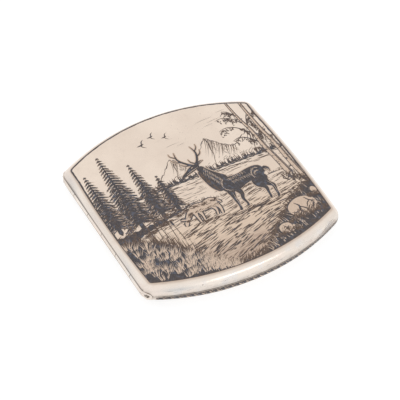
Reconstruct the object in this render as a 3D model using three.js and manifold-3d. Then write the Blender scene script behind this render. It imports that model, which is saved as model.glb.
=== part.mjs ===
import * as THREE from 'three';
import { mergeVertices } from 'three/addons/utils/BufferGeometryUtils.js';
import Module from 'manifold-3d';

const wasm = await Module();
wasm.setup();

// Driving dimensions in millimetres
// +X runs from the hinge side to the opening side, +Y to the back end, +Z up
const caseWidth = 85;
const caseLength = 89.8;
const endBow = 10.4;
const openingSideBow = 1.0;
const cornerRadius = 5.2;

// The bullnose rim round the picture panel
const sideRimWidth = 2.55;
const endRimWidth = 3.1;
const panelEndBow = 9.9;
const panelSideBow = 1.2;
const panelCornerRadius = 1.2;

// Lid and base are alike: each rises from the seam to a crown along the middle of the case
const edgeHeight = 3.5;
const crownRise = 1.6;
const footFlatDrop = 0.22;
const wallThickness = 0.9;
const seamGap = 0.12;

// The hinge is let into the side, with its barrel flush with the outline
const barrelRadius = 1.4;
const knuckleCount = 6;
const knuckleGap = 0.16;
const runningGap = 0.25;
const solderGap = 0.1;
const hingeLipHeight = 1.45;
const jointStripThickness = 0.8;
const knuckleFootStart = 15;
const knuckleFootEnd = 105;
const pinRadius = 0.55;
const pinClearance = 0.15;
const pinRecess = 0.7;

// The bezel stands inside the base wall, and the lid closes over it
const bezelThickness = 0.7;
const bezelRise = 1.1;
const bezelDepth = 1.8;
const bezelGap = 0.2;
const bezelHingeClearance = 1.2;

// Niello lies flush in shallow channels
const nielloDepth = 0.25;
const nielloGap = 0.05;
const borderWidth = 0.6;
const borderInset = 0.1;
const bandTopMargin = 0.35;
const bandHeight = 2.5;
const bandHingeMargin = 1.0;

// The niello picture on the lid, a stag by a lake, drawn on a grid of this pitch from the middle of the panel
const pictureGridLength = 1;
const pictureMargin = 0.4;
const stagShare = 0.3;
const firTierHeight = 5.2;
const firTrunkWidth = 1.6;
const ridgeLineWidth = 0.4;
const shoreWidth = 1.5;

// Facets along each stretch of the outline, up the rim, over the panel and round the hinge
const endSteps = 16;
const sideSteps = 8;
const cornerSteps = 4;
const rimSteps = 6;
const hollowRimSteps = 3;
const panelRings = 3;
const hingeStep = 15;
const crownSteps = 12;

// Places that follow from the sizes above
const halfWidth = caseWidth / 2;
const halfLength = caseLength / 2;
const seamHeight = edgeHeight + crownRise - footFlatDrop;
const hingeX = barrelRadius - halfWidth;
const coveRadius = barrelRadius + runningGap;
const boreRadius = pinRadius + pinClearance;
const beyond = caseWidth + caseLength;
const aboveFace = edgeHeight + crownRise + wallThickness;

const silver = { color: 0xd9d2cb, metalness: 1.0, roughness: 0.28 };
const niello = { color: 0x35383f, metalness: 0.6, roughness: 0.42 };
const steel = { color: 0x4a4743, metalness: 0.9, roughness: 0.5 };

// Radius of an arc from its rise in the middle and half its chord
function arcRadius(bow, halfChord) {
  return bow === 0 ? Infinity : (halfChord ** 2 + bow ** 2) / (2 * bow);
}

// How far an arc has fallen away at a distance from its middle
function arcFall(radius, distance) {
  return radius === Infinity ? 0 : radius - Math.sqrt(radius ** 2 - distance ** 2);
}

const caseShape = {
  halfWidth,
  halfLength,
  endRadius: arcRadius(endBow, halfWidth),
  hingeSideRadius: Infinity,
  openingSideRadius: arcRadius(openingSideBow, halfLength - endBow),
  corner: cornerRadius,
};

const panelSideRadius = arcRadius(panelSideBow, halfLength - endRimWidth - panelEndBow);
const panelShape = {
  halfWidth: halfWidth - sideRimWidth,
  halfLength: halfLength - endRimWidth,
  endRadius: arcRadius(panelEndBow, halfWidth - sideRimWidth),
  hingeSideRadius: panelSideRadius,
  openingSideRadius: panelSideRadius,
  corner: panelCornerRadius,
};

// Where the corner round between an end and a side has its centre, x and y both outward
function cornerCentre(shape, sideRadius, inset, corner) {
  const reach = inset + corner;
  const centre = new THREE.Vector2();
  for (let pass = 0; pass < 30; pass++) {
    centre.y = shape.halfLength - reach - arcFall(shape.endRadius - reach, centre.x);
    centre.x = shape.halfWidth - reach - arcFall(sideRadius - reach, centre.y);
  }
  return centre;
}

// A quarter of an outline, from the middle of an end to the middle of a side, drawn in by an inset
function outlineQuarter(shape, sideRadius, inset) {
  const corner = Math.max(shape.corner - inset, panelCornerRadius / 4);
  const centre = cornerCentre(shape, sideRadius, inset, corner);
  const endTurn = Math.asin(centre.x / (shape.endRadius - inset - corner));
  const sideTurn = sideRadius === Infinity ? 0 : Math.asin(centre.y / (sideRadius - inset - corner));
  const points = [];
  for (let i = 0; i < endSteps / 2; i++) {
    const turn = endTurn * i / (endSteps / 2);
    const radius = shape.endRadius - inset;
    const y = shape.halfLength - inset - radius * (1 - Math.cos(turn));
    points.push(new THREE.Vector2(radius * Math.sin(turn), y));
  }
  for (let i = 0; i <= cornerSteps; i++) {
    const turn = THREE.MathUtils.lerp(endTurn, Math.PI / 2 - sideTurn, i / cornerSteps);
    const round = new THREE.Vector2(Math.sin(turn), Math.cos(turn));
    points.push(centre.clone().addScaledVector(round, corner));
  }
  for (let i = sideSteps / 2 - 1; i >= 0; i--) {
    const y = centre.y * i / (sideSteps / 2);
    points.push(new THREE.Vector2(shape.halfWidth - inset - arcFall(sideRadius - inset, y), y));
  }
  return points;
}

// The whole outline, anticlockwise from the middle of the opening side
function outline(shape, inset = 0) {
  const opening = outlineQuarter(shape, shape.openingSideRadius, inset);
  const hinge = outlineQuarter(shape, shape.hingeSideRadius, inset);
  const turned = (points, x, y) => points.map((p) => new THREE.Vector2(p.x * x, p.y * y));
  return [
    ...turned(opening.slice(1).reverse(), 1, 1),
    ...turned(hinge.slice(0, -1), -1, 1),
    ...turned(hinge.slice(1).reverse(), -1, -1),
    ...turned(opening.slice(0, -1), 1, -1),
  ];
}

function toSolid(geometry) {
  const bare = geometry.clone();
  bare.deleteAttribute('normal');
  bare.deleteAttribute('uv');
  const merged = mergeVertices(bare, 1e-5);
  return new wasm.Manifold(new wasm.Mesh({
    numProp: 3,
    vertProperties: merged.attributes.position.array,
    triVerts: new Uint32Array(merged.index.array),
  }));
}

function meshOf(positions, triangles) {
  const geometry = new THREE.BufferGeometry();
  geometry.setAttribute('position', new THREE.Float32BufferAttribute(positions, 3));
  geometry.setIndex(triangles);
  return toSolid(geometry);
}

// Triangles between each ring of points and the next, and back to the first where the loft is closed
function skin(rings, closed) {
  const count = rings[0].length;
  const triangles = [];
  for (let ring = 0; ring < rings.length - (closed ? 0 : 1); ring++) {
    const here = ring * count;
    const next = (ring + 1) % rings.length * count;
    for (let i = 0; i < count; i++) {
      const j = (i + 1) % count;
      triangles.push(here + i, here + j, next + j);
      triangles.push(here + i, next + j, next + i);
    }
  }
  return triangles;
}

// A body through rings of equal length that comes back to its start
function closedLoft(rings) {
  return meshOf(rings.flat().flatMap((p) => [p.x, p.y, p.z]), skin(rings, true));
}

// A body through rings of equal length, with a fan over its first and last ring
function loft(rings) {
  const count = rings[0].length;
  const positions = rings.flat().flatMap((p) => [p.x, p.y, p.z]);
  const triangles = skin(rings, false);
  for (const [ring, order] of [[0, -1], [rings.length - 1, 1]]) {
    const middle = new THREE.Vector3();
    rings[ring].forEach((p) => middle.addScaledVector(p, 1 / count));
    const hub = positions.length / 3;
    positions.push(middle.x, middle.y, middle.z);
    for (let i = 0; i < count; i++) {
      const a = ring * count + i;
      const b = ring * count + (i + 1) % count;
      triangles.push(...(order > 0 ? [a, b, hub] : [b, a, hub]));
    }
  }
  return meshOf(positions, triangles);
}

// Height of the crowned face of the lid over the seam
function lidFace(x) {
  return edgeHeight + crownRise * (1 - (x / halfWidth) ** 2);
}

// The base is the same form turned over, planished flat along its crown so that the case stands
function baseFace(x) {
  return Math.min(lidFace(x), seamHeight);
}

// Half of the case as a full body on the seam, drawn in by an inset on every face
function halfCase(face, inset, steps = rimSteps) {
  const outer = outline(caseShape, inset);
  const panel = outline(panelShape);
  const rings = [];
  for (let step = 0; step <= steps; step++) {
    const turn = Math.PI / 2 * step / steps;
    rings.push(outer.map((start, i) => {
      const flat = start.clone().lerp(panel[i], 1 - Math.cos(turn));
      return new THREE.Vector3(flat.x, flat.y, (face(flat.x) - inset) * Math.sin(turn));
    }));
  }
  for (let ring = 1; ring < panelRings; ring++) {
    rings.push(panel.map((edge) => {
      const flat = edge.clone().multiplyScalar(1 - ring / panelRings);
      return new THREE.Vector3(flat.x, flat.y, face(flat.x) - inset);
    }));
  }
  return loft(rings);
}

function prism(ring, bottom, top) {
  return loft([bottom, top].map((z) => ring.map((p) => new THREE.Vector3(p.x, p.y, z))));
}

function block(x0, x1, y0, y1, z0, z1) {
  const geometry = new THREE.BoxGeometry(x1 - x0, y1 - y0, z1 - z0);
  geometry.translate((x0 + x1) / 2, (y0 + y1) / 2, (z0 + z1) / 2);
  return toSolid(geometry);
}

// Points on an arc about the hinge axis, in degrees from the opening side, in shared steps
function hingeArc(radius, from, to) {
  const count = Math.round(Math.abs(to - from) / hingeStep);
  return Array.from({ length: count + 1 }, (_, i) => {
    const turn = THREE.MathUtils.degToRad(THREE.MathUtils.lerp(from, to, i / count));
    return new THREE.Vector2(radius * Math.cos(turn), radius * Math.sin(turn));
  });
}

function hingeDisc(radius) {
  return new THREE.Shape(hingeArc(radius, 0, 360).slice(1));
}

// A section in the XZ plane, extruded along Y
function alongY(section, start, end) {
  const geometry = new THREE.ExtrudeGeometry(section, { depth: end - start, bevelEnabled: false });
  geometry.rotateX(Math.PI / 2);
  geometry.translate(0, end, 0);
  return toSolid(geometry);
}

// Solids that belong to a half are drawn on its seam, and the hinge axis lies half the seam gap below
const atHinge = (solid) => solid.translate([hingeX, 0, -seamGap / 2]);

// Room for the barrel along the hinge side, open to the outside up to the hinge lip
function hingeRoom() {
  const outside = block(-beyond, hingeX, -beyond, beyond, -beyond, hingeLipHeight);
  return atHinge(alongY(hingeDisc(coveRadius), -beyond, beyond)).add(outside);
}

// The hollow of a half, or what fits in it with a further inset
function hollow(face, inset = wallThickness) {
  return halfCase(face, inset, hollowRimSteps);
}

// A half with its hollow and its hinge room
function shell(face) {
  return halfCase(face, 0).subtract(hollow(face)).subtract(hingeRoom());
}

// The joint strip is soldered into the corner of the hollow and completes the trough
function jointStrip(face) {
  const outside = hingeArc(coveRadius + jointStripThickness, 0, 90);
  const inside = hingeArc(coveRadius, 90, 0);
  const section = new THREE.Shape([...outside, ...inside]);
  const strip = atHinge(alongY(section, -halfLength, halfLength));
  return strip.intersect(hollow(face, wallThickness + solderGap));
}

// The border line round a panel: the inlay, or with a gap the channel that holds it
function border(face, gap) {
  const outside = outline(panelShape, borderInset - gap);
  const inside = outline(panelShape, borderInset + borderWidth + gap);
  const top = gap > 0 ? wallThickness : 0;
  return closedLoft(outside.map((outer, i) => {
    const inner = inside[i];
    const bottom = -nielloDepth - gap;
    return [[outer, top], [outer, bottom], [inner, bottom], [inner, top]]
      .map(([p, rise]) => new THREE.Vector3(p.x, p.y, face(p.x) + rise));
  }));
}

// The band on the rim of the base, open at the hinge: the inlay, or with a gap its channel
function band(gap) {
  const start = hingeX + coveRadius + bandHingeMargin - gap;
  const top = bandTopMargin - gap;
  const span = block(start, beyond, -beyond, beyond, top, top + bandHeight + 2 * gap);
  const layer = span.subtract(halfCase(baseFace, nielloDepth + gap));
  const limit = gap > 0 ? prism(outline(caseShape, -1), -1, beyond) : halfCase(baseFace, 0);
  return layer.intersect(limit);
}

// Everything below the crowned face of the lid, lowered by a depth
function underCrown(depth) {
  const top = Array.from({ length: crownSteps + 1 }, (_, i) => {
    const x = THREE.MathUtils.lerp(halfWidth, -halfWidth, i / crownSteps);
    return new THREE.Vector2(x, lidFace(x) - depth);
  });
  const bottom = [-halfWidth, halfWidth].map((x) => new THREE.Vector2(x, -wallThickness));
  return alongY(new THREE.Shape([...top, ...bottom]), -halfLength, halfLength);
}

// What is let into the face of the lid, from upright walls: the inlay, or with a gap its channel
function inlay(walls, gap) {
  const reach = borderInset + borderWidth + pictureMargin - gap;
  const inside = walls.intersect(prism(outline(panelShape, reach), 0, aboveFace));
  const sunk = inside.subtract(underCrown(nielloDepth + gap));
  return gap > 0 ? sunk : sunk.intersect(underCrown(0));
}

// Upright walls over a flat outline, anticlockwise, that is widened by a gap on all sides
function uprightWalls(points, gap) {
  const wide = points.map((p, i) => {
    const before = p.clone().sub(points.at(i - 1));
    const after = points[(i + 1) % points.length].clone().sub(p);
    const [a, b] = [before, after].map((edge) => new THREE.Vector2(edge.y, -edge.x).normalize());
    return p.clone().addScaledVector(a.clone().add(b), gap / (1 + a.dot(b)));
  });
  const options = { depth: aboveFace, bevelEnabled: false };
  return toSolid(new THREE.ExtrudeGeometry(new THREE.Shape(wide), options));
}

// Upright walls over a tapered stroke through points of x, y and half width, in grid lengths
function brush(points, gap) {
  const line = points.map((p) => new THREE.Vector3(...p).multiplyScalar(pictureGridLength));
  return loft(line.map((p, i) => {
    const way = line[Math.min(i + 1, line.length - 1)].clone().sub(line[Math.max(i - 1, 0)]);
    way.setZ(0).normalize();
    const end = i === 0 ? -gap : (i === line.length - 1 ? gap : 0);
    const side = new THREE.Vector3(-way.y, way.x, 0).multiplyScalar(p.z + gap);
    const middle = new THREE.Vector3(p.x, p.y, 0).addScaledVector(way, end);
    return [[-1, 0], [1, 0], [1, aboveFace], [-1, aboveFace]]
      .map(([turn, z]) => middle.clone().addScaledVector(side, turn).setZ(z));
  }));
}

// Places in the picture are a share of the half width of the panel across, and grid lengths along
const pictureX = (share) => share * panelShape.halfWidth;
const picturePoint = ([share, y]) => new THREE.Vector2(pictureX(share), y * pictureGridLength);

// A fir of flat-footed tiers that widen downward, on a short trunk
function fir(share, foot, top, spread, gap) {
  const [x, low, high] = [pictureX(share), foot * pictureGridLength, top * pictureGridLength];
  const tiers = Math.round((high - low) / firTierHeight);
  const side = [];
  for (let tier = 1; tier <= tiers; tier++) {
    const y = THREE.MathUtils.lerp(high, low, tier / tiers);
    const out = spread * pictureGridLength * tier / tiers;
    side.push([out, y], [tier < tiers ? out * 0.5 : firTrunkWidth / 2, y]);
  }
  side.push([firTrunkWidth / 2, low - firTierHeight / 2]);
  const left = side.map(([out, y]) => new THREE.Vector2(x - out, y));
  const right = side.map(([out, y]) => new THREE.Vector2(x + out, y)).reverse();
  return uprightWalls([new THREE.Vector2(x, high), ...left, ...right], gap);
}

// The firs stand on the dark shore at their feet
function firs(gap) {
  const shore = [[-1.1, -7.2], [-1.1, -10.4], [-0.6, -9.6], [-0.3, -7.8], [-0.3, -6.6]].map(picturePoint);
  return uprightWalls(shore, gap)
    .add(fir(-0.92, -6.2, 26, 7.4, gap))
    .add(fir(-0.70, -6.2, 33, 7.8, gap))
    .add(fir(-0.46, -6.2, 24, 5.6, gap));
}

// Dark ground in the two near corners, up to the border
function bank(gap) {
  const top = [[-0.1, -44], [-0.25, -38.5], [-0.42, -29.5], [-0.6, -21.5], [-0.76, -15.6], [-1.1, -12.6]];
  return uprightWalls([...top, [-1.1, -48], [-0.1, -48]].map(picturePoint), gap);
}

function thicket(gap) {
  const top = [[1.1, -15], [0.86, -17.4], [0.7, -22.2], [0.56, -29.4], [0.42, -34.6], [0.25, -41.5]];
  return uprightWalls([...top, [0.25, -48], [1.1, -48]].map(picturePoint), gap);
}

// The stag is brushed from tapered strokes about its own middle
const stagStrokes = {
  body: [
    [-5.6, -3.8, 1.6], [-3.2, -4.1, 3.7], [0.2, -4.3, 4.0],
    [4.5, -3.6, 3.2], [11.8, -3.1, 3.5], [14.2, -4.1, 2.3],
  ],
  neck: [[-1.4, -2.6, 3.3], [-3.8, 0.8, 2.7], [-5.8, 4.4, 2.1], [-7.5, 9.8, 1.4]],
  head: [[-6.8, 10.3, 1.0], [-8.6, 10.2, 1.4], [-12.7, 8.5, 0.9], [-15.4, 7.2, 0.5]],
  ear: [[-7.4, 10.8, 0.5], [-4.0, 12.0, 0.15]],
  rightAntler: [[-7.8, 11.0, 0.6], [-6.0, 13.4, 0.5], [-4.8, 17.0, 0.4], [-5.5, 21.2, 0.15]],
  rightTine: [[-5.7, 14.4, 0.4], [-2.7, 18.0, 0.15]],
  leftAntler: [[-8.8, 10.9, 0.6], [-11.0, 13.2, 0.5], [-13.0, 16.6, 0.4], [-12.5, 21.0, 0.15]],
  leftTine: [[-12.0, 14.6, 0.4], [-15.5, 17.8, 0.15]],
  browTine: [[-9.4, 11.4, 0.4], [-13.4, 13.8, 0.15]],
  tail: [[14.3, -1.6, 0.8], [16.0, -5.2, 0.25]],
  nearForeleg: [[-2.8, -6.4, 2.0], [-3.3, -12.0, 0.7], [-3.4, -15.6, 0.5], [-4.1, -18.2, 0.8]],
  farForeleg: [[-0.2, -7.2, 1.5], [-0.2, -12.6, 0.7], [-0.5, -17.3, 0.6]],
  nearHindleg: [[11.7, -4.4, 3.1], [12.0, -10.2, 1.3], [13.4, -12.2, 0.9], [12.0, -18.2, 0.8]],
  farHindleg: [[9.2, -5.4, 2.4], [8.4, -8.8, 1.5], [10.2, -11.8, 0.8], [9.1, -17.6, 0.6]],
};

function stag(gap) {
  return Object.values(stagStrokes)
    .map((stroke) => brush(stroke, gap))
    .reduce((whole, stroke) => whole.add(stroke))
    .translate([pictureX(stagShare), 0, 0]);
}

// The far shore and the mountain line run from behind the stag to the border
function farShore(gap) {
  const half = shoreWidth / 2 / pictureGridLength;
  const strip = [[-2.4, 5.4, half / 3], [1.5, 5.6, half], [11, 5.4, half], [20, 5.9, half], [34, 5.5, half]];
  return brush(strip, gap).translate([pictureX(stagShare), 0, 0]);
}

function ridge(gap) {
  const peaks = [
    [-1.2, 17.8], [1.6, 22.4], [4.2, 19.6], [7.5, 15.6], [11, 13.8],
    [15, 16.6], [18.5, 18.4], [22, 15.4], [32, 8.5],
  ];
  const half = ridgeLineWidth / 2 / pictureGridLength;
  return brush(peaks.map(([x, y]) => [x, y, half]), gap).translate([pictureX(stagShare), 0, 0]);
}

const picture = {
  lid_niello_firs: firs,
  lid_niello_bank: bank,
  lid_niello_thicket: thicket,
  lid_niello_far_shore: farShore,
  lid_niello_ridge: ridge,
  lid_niello_stag: stag,
};

// The bezel follows the inside of the base wall on three sides and stops short of the hinge
function bezel() {
  const inset = wallThickness + bezelGap;
  const wall = prism(outline(caseShape, inset), -bezelRise, bezelDepth)
    .subtract(prism(outline(caseShape, inset + bezelThickness), -beyond, beyond));
  const room = hollow(baseFace, inset).add(hollow(lidFace, inset).mirror([0, 0, 1]));
  const start = hingeX + coveRadius + jointStripThickness + bezelHingeClearance;
  const span = block(start, beyond, -beyond, beyond, -beyond, beyond);
  return wall.intersect(room).intersect(span);
}

// Half the length of the barrel along its axis, up to the rounded corners of the outline
function barrelReach() {
  const centre = cornerCentre(caseShape, Infinity, 0, cornerRadius);
  const out = Math.max(cornerRadius - barrelRadius, 0);
  return centre.y + Math.sqrt(cornerRadius ** 2 - out ** 2);
}

// A knuckle is a length of tube with a foot that beds in the trough of its own half
function knuckle(index, side) {
  const barrel = hingeArc(barrelRadius, knuckleFootEnd, knuckleFootStart + 360);
  const foot = hingeArc(coveRadius - solderGap, knuckleFootStart, knuckleFootEnd);
  const section = new THREE.Shape([...barrel, ...foot]);
  section.holes.push(hingeDisc(boreRadius));
  const pitch = 2 * barrelReach() / knuckleCount;
  const first = index === 0;
  const last = index === knuckleCount - 1;
  const start = first ? -halfLength : index * pitch - barrelReach() + knuckleGap / 2;
  const end = last ? halfLength : (index + 1) * pitch - barrelReach() - knuckleGap / 2;
  const tube = alongY(section, start, end);
  const turned = side === 'lid' ? tube : tube.mirror([0, 0, 1]);
  if (!first && !last) {
    return turned;
  }
  // The end knuckles are filed flush with the outline
  const filed = prism(outline(caseShape), -beyond, beyond).translate([-hingeX, 0, 0]);
  return turned.intersect(filed);
}

function pin() {
  const reach = barrelReach() - pinRecess;
  return alongY(hingeDisc(pinRadius), -reach, reach);
}

function piece(name, solid, look) {
  const mesh = solid.getMesh();
  const geometry = new THREE.BufferGeometry();
  geometry.setAttribute('position', new THREE.BufferAttribute(mesh.vertProperties, 3));
  geometry.setIndex(new THREE.BufferAttribute(mesh.triVerts, 1));
  geometry.computeVertexNormals();
  const made = new THREE.Mesh(geometry, new THREE.MeshStandardMaterial(look));
  made.name = name;
  return made;
}

// The lid, drawn upward from its seam
const lid = new THREE.Group();
const pictureChannels = Object.values(picture)
  .map((motif) => inlay(motif(nielloGap), nielloGap))
  .reduce((all, channel) => all.add(channel));
lid.position.z = seamHeight + seamGap;
lid.add(
  piece('lid_shell', shell(lidFace).subtract(border(lidFace, nielloGap)).subtract(pictureChannels), silver),
  piece('lid_joint_strip', jointStrip(lidFace), silver),
  piece('lid_niello_border', border(lidFace, 0), niello),
  ...Object.entries(picture).map(([name, motif]) => piece(name, inlay(motif(0), 0), niello)),
);

// The base, drawn the same way and turned over
const turnedOver = (solid) => solid.mirror([0, 0, 1]);
const base = new THREE.Group();
base.position.z = seamHeight;
base.add(
  piece('base_shell', turnedOver(shell(baseFace).subtract(band(nielloGap))
    .subtract(border(baseFace, nielloGap))), silver),
  piece('base_joint_strip', turnedOver(jointStrip(baseFace)), silver),
  piece('base_bezel', turnedOver(bezel()), silver),
  piece('base_niello_band', turnedOver(band(0)), niello),
  piece('base_niello_border', turnedOver(border(baseFace, 0)), niello),
);

// The knuckles take turns along the pin, from the front end to the back
const hinge = new THREE.Group();
hinge.position.set(hingeX, 0, seamHeight + seamGap / 2);
for (let index = 0; index < knuckleCount; index++) {
  const side = index % 2 === 0 ? 'base' : 'lid';
  const name = `${side}_knuckle_${Math.floor(index / 2) + 1}`;
  hinge.add(piece(name, knuckle(index, side), silver));
}
hinge.add(piece('hinge_pin', pin(), steel));

const snuffBox = new THREE.Group();
snuffBox.add(base, lid, hinge);

export default snuffBox;
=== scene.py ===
import math

import bpy
import numpy as np
from mathutils import Matrix, Vector


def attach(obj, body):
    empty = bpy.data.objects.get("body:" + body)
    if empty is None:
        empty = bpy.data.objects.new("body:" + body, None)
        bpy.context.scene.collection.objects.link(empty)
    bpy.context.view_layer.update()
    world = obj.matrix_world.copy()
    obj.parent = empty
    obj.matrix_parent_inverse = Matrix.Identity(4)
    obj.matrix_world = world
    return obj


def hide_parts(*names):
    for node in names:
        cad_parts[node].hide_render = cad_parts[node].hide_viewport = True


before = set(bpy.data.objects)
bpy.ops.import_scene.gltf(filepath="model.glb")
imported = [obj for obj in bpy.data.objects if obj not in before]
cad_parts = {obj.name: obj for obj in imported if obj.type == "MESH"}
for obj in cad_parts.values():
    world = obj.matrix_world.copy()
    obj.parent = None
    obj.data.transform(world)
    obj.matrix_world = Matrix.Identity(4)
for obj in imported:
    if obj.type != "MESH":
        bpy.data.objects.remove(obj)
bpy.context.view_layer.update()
mm = 0.001

# Shared shape of the case, in millimetres, with the same values as the solids
case = {
    "width": 85.0, "length": 89.8, "endBow": 10.4, "openingBow": 1.0, "corner": 5.2,
    "sideRim": 2.55, "endRim": 3.1, "panelEndBow": 9.9, "panelSideBow": 1.2, "panelCorner": 1.2,
    "edgeHeight": 3.5, "crownRise": 1.6, "footDrop": 0.22, "wall": 0.9, "seamGap": 0.12,
    "endSteps": 60, "cornerSteps": 18, "sideSteps": 60,
}
hinge = {
    "radius": 1.4, "knuckles": 6, "gap": 0.16, "runningGap": 0.25, "solderGap": 0.03, "mouth": 0.07,
    "lip": 1.45, "footStart": 15, "footEnd": 105, "pinRadius": 0.55, "pinClearance": 0.15,
}
sharpFrom = 38  # degrees
halfWidth = case["width"] / 2
halfLength = case["length"] / 2
seamHeight = case["edgeHeight"] + case["crownRise"] - case["footDrop"]
lidSeam = seamHeight + case["seamGap"]
axisX = hinge["radius"] - halfWidth
axisZ = seamHeight + case["seamGap"] / 2
coveRadius = hinge["radius"] + hinge["runningGap"]


def arcRadius(bow, halfChord):
    # radius of an arc from its rise and half its chord; a straight line has none
    return math.inf if bow == 0 else (halfChord**2 + bow**2) / (2 * bow)


def arcFall(radius, distance):
    # how far an arc has fallen away at a distance from its middle
    return distance * 0 if radius == math.inf else radius - np.sqrt(radius**2 - distance**2)


def oval(x, y, reachX, reachY, turn):
    # points round a middle, at turns in degrees
    turn = np.radians(turn)
    return x + reachX * np.cos(turn), y + reachY * np.sin(turn)


caseShape = {
    "halfWidth": halfWidth, "halfLength": halfLength,
    "endRadius": arcRadius(case["endBow"], halfWidth),
    "hingeSide": math.inf,
    "openingSide": arcRadius(case["openingBow"], halfLength - case["endBow"]),
    "corner": case["corner"],
}
panelHalfWidth = halfWidth - case["sideRim"]
panelHalfLength = halfLength - case["endRim"]
panelSide = arcRadius(case["panelSideBow"], panelHalfLength - case["panelEndBow"])
panelShape = {
    "halfWidth": panelHalfWidth, "halfLength": panelHalfLength,
    "endRadius": arcRadius(case["panelEndBow"], panelHalfWidth),
    "hingeSide": panelSide, "openingSide": panelSide, "corner": case["panelCorner"],
}


def cornerCentre(shape, sideRadius, inset, corner):
    # the corner circle touches the end arc and the side arc; settled by repeated passes
    reach, x, y = inset + corner, 0.0, 0.0
    for _ in range(30):
        y = shape["halfLength"] - reach - arcFall(shape["endRadius"] - reach, x)
        x = shape["halfWidth"] - reach - arcFall(sideRadius - reach, y)
    return x, y


def outlineQuarter(shape, sideRadius, inset):
    # end arc, corner circle, side arc, from the middle of the end to the middle of the side
    corner = max(shape["corner"] - inset, case["panelCorner"] / 4)
    cx, cy = cornerCentre(shape, sideRadius, inset, corner)
    radius = shape["endRadius"] - inset
    endTurn = math.asin(cx / (radius - corner))
    sideTurn = 0 if sideRadius == math.inf else math.asin(cy / (sideRadius - inset - corner))
    turn = endTurn * np.linspace(0, 1, case["endSteps"], endpoint=False)
    end = np.stack([radius * np.sin(turn), shape["halfLength"] - inset - radius * (1 - np.cos(turn))], 1)
    turn = np.linspace(endTurn, math.pi / 2 - sideTurn, case["cornerSteps"] + 1)
    bend = np.stack([cx + corner * np.sin(turn), cy + corner * np.cos(turn)], 1)
    y = cy * np.linspace(1, 0, case["sideSteps"] + 1)[1:]
    side = np.stack([shape["halfWidth"] - inset - arcFall(sideRadius - inset, y), y], 1)
    return np.concatenate([end, bend, side])


def outline(shape, inset=0.0):
    # four quarters, anticlockwise from the middle of the opening side
    opening = outlineQuarter(shape, shape["openingSide"], inset)
    hingeSide = outlineQuarter(shape, shape["hingeSide"], inset)
    return np.concatenate([
        opening[1:][::-1], hingeSide[:-1] * [-1, 1], hingeSide[1:][::-1] * [-1, -1], opening[:-1] * [1, -1],
    ])


def lidFace(x):
    # height of the crowned face over the seam: a parabola across the width
    return case["edgeHeight"] + case["crownRise"] * (1 - (x / halfWidth) ** 2)


def baseFace(x):
    # the same crown, planished flat along its middle so that the case stands
    return np.minimum(lidFace(x), seamHeight)


def cutHeight(x):
    # height that the hinge room takes from a half: a flat lip outside, then the cove round the barrel
    over = np.clip(coveRadius**2 - (x - axisX) ** 2, 0, None)
    cove = np.sqrt(over) - case["seamGap"] / 2
    lip = np.where(x < axisX, hinge["lip"] - case["seamGap"] / 2, 0)
    return np.clip(np.maximum(cove, lip), 0, None)


def rimPoint(face, inset, outer, panel, turn):
    # an elliptical roll from the case outline, turn 0, to the panel outline, turn a quarter
    flat = outer + (panel - outer) * (1 - np.cos(turn))[..., None]
    z = (face(flat[..., 0]) - inset) * np.sin(turn)
    return np.concatenate([flat, z[..., None]], -1)


def turnAt(face, inset, outer, panel, target):
    # the turn at which the roll rises past a target height, which may depend on x, halved in on
    low = np.zeros(outer.shape[:-1])
    high = np.full(outer.shape[:-1], math.pi / 2)
    for _ in range(40):
        middle = (low + high) / 2
        point = rimPoint(face, inset, outer, panel, middle)
        under = point[..., 2] < target(point[..., 0])
        low, high = np.where(under, middle, low), np.where(under, high, middle)
    return np.where(high < 1e-6, 0, high)


def quads(rows, count, closed=True):
    # faces of a grid of rows, each of count points
    r, c = np.meshgrid(np.arange(rows - 1), np.arange(count if closed else count - 1), indexing="ij")
    n = (c + 1) % count
    low, high = r * count, (r + 1) * count
    return np.stack([low + c, low + n, high + n, high + c], -1).reshape(-1, 4)


def fan(hub, first, count, turned=False):
    # triangles between a hub and a ring of count points
    station = np.arange(count)
    ring = first + station, first + (station + 1) % count
    return list(zip(np.full(count, hub), *(ring[::-1] if turned else ring)))


def makePiece(name, points, faces, body, material, slot, nodes, values=None):
    # a mesh from points in millimetres, its object at the origin; nodes are the solids that it replaces
    mesh = bpy.data.meshes.new(name)
    mesh.from_pydata((np.asarray(points, float) * mm).tolist(), [], [list(map(int, f)) for f in faces])
    mesh.validate()
    mesh.polygons.foreach_set("use_smooth", np.ones(len(mesh.polygons), bool))
    for key, value in (values or {}).items():
        layer = mesh.attributes.new(key, "FLOAT", "POINT")
        layer.data.foreach_set("value", np.asarray(value, np.float32).ravel())
    mesh.set_sharp_from_angle(angle=math.radians(sharpFrom))
    piece = bpy.data.objects.new(name, mesh)
    bpy.context.scene.collection.objects.link(piece)
    mesh.materials.append(material)
    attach(piece, body)
    if nodes:
        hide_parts(*nodes)
    return piece


class Value:
    # a shader socket on which sums and products add Math nodes
    def __init__(self, graph, socket):
        self.graph, self.socket = graph, socket

    def math(self, operation, *terms):
        return self.graph.add("Math", {"operation": operation}, dict(enumerate(terms)))

    def __add__(self, other):
        return self.math("ADD", self, other)

    def __radd__(self, other):
        return self.math("ADD", other, self)

    def __sub__(self, other):
        return self.math("SUBTRACT", self, other)

    def __rsub__(self, other):
        return self.math("SUBTRACT", other, self)

    def __mul__(self, other):
        return self.math("MULTIPLY", self, other)

    def __rmul__(self, other):
        return self.math("MULTIPLY", other, self)

    def __pow__(self, other):
        return self.math("POWER", self, other)

    def __abs__(self):
        return self.math("ABSOLUTE", self)

    def upTo(self, most):
        return self.math("MINIMUM", self, most)


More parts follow.
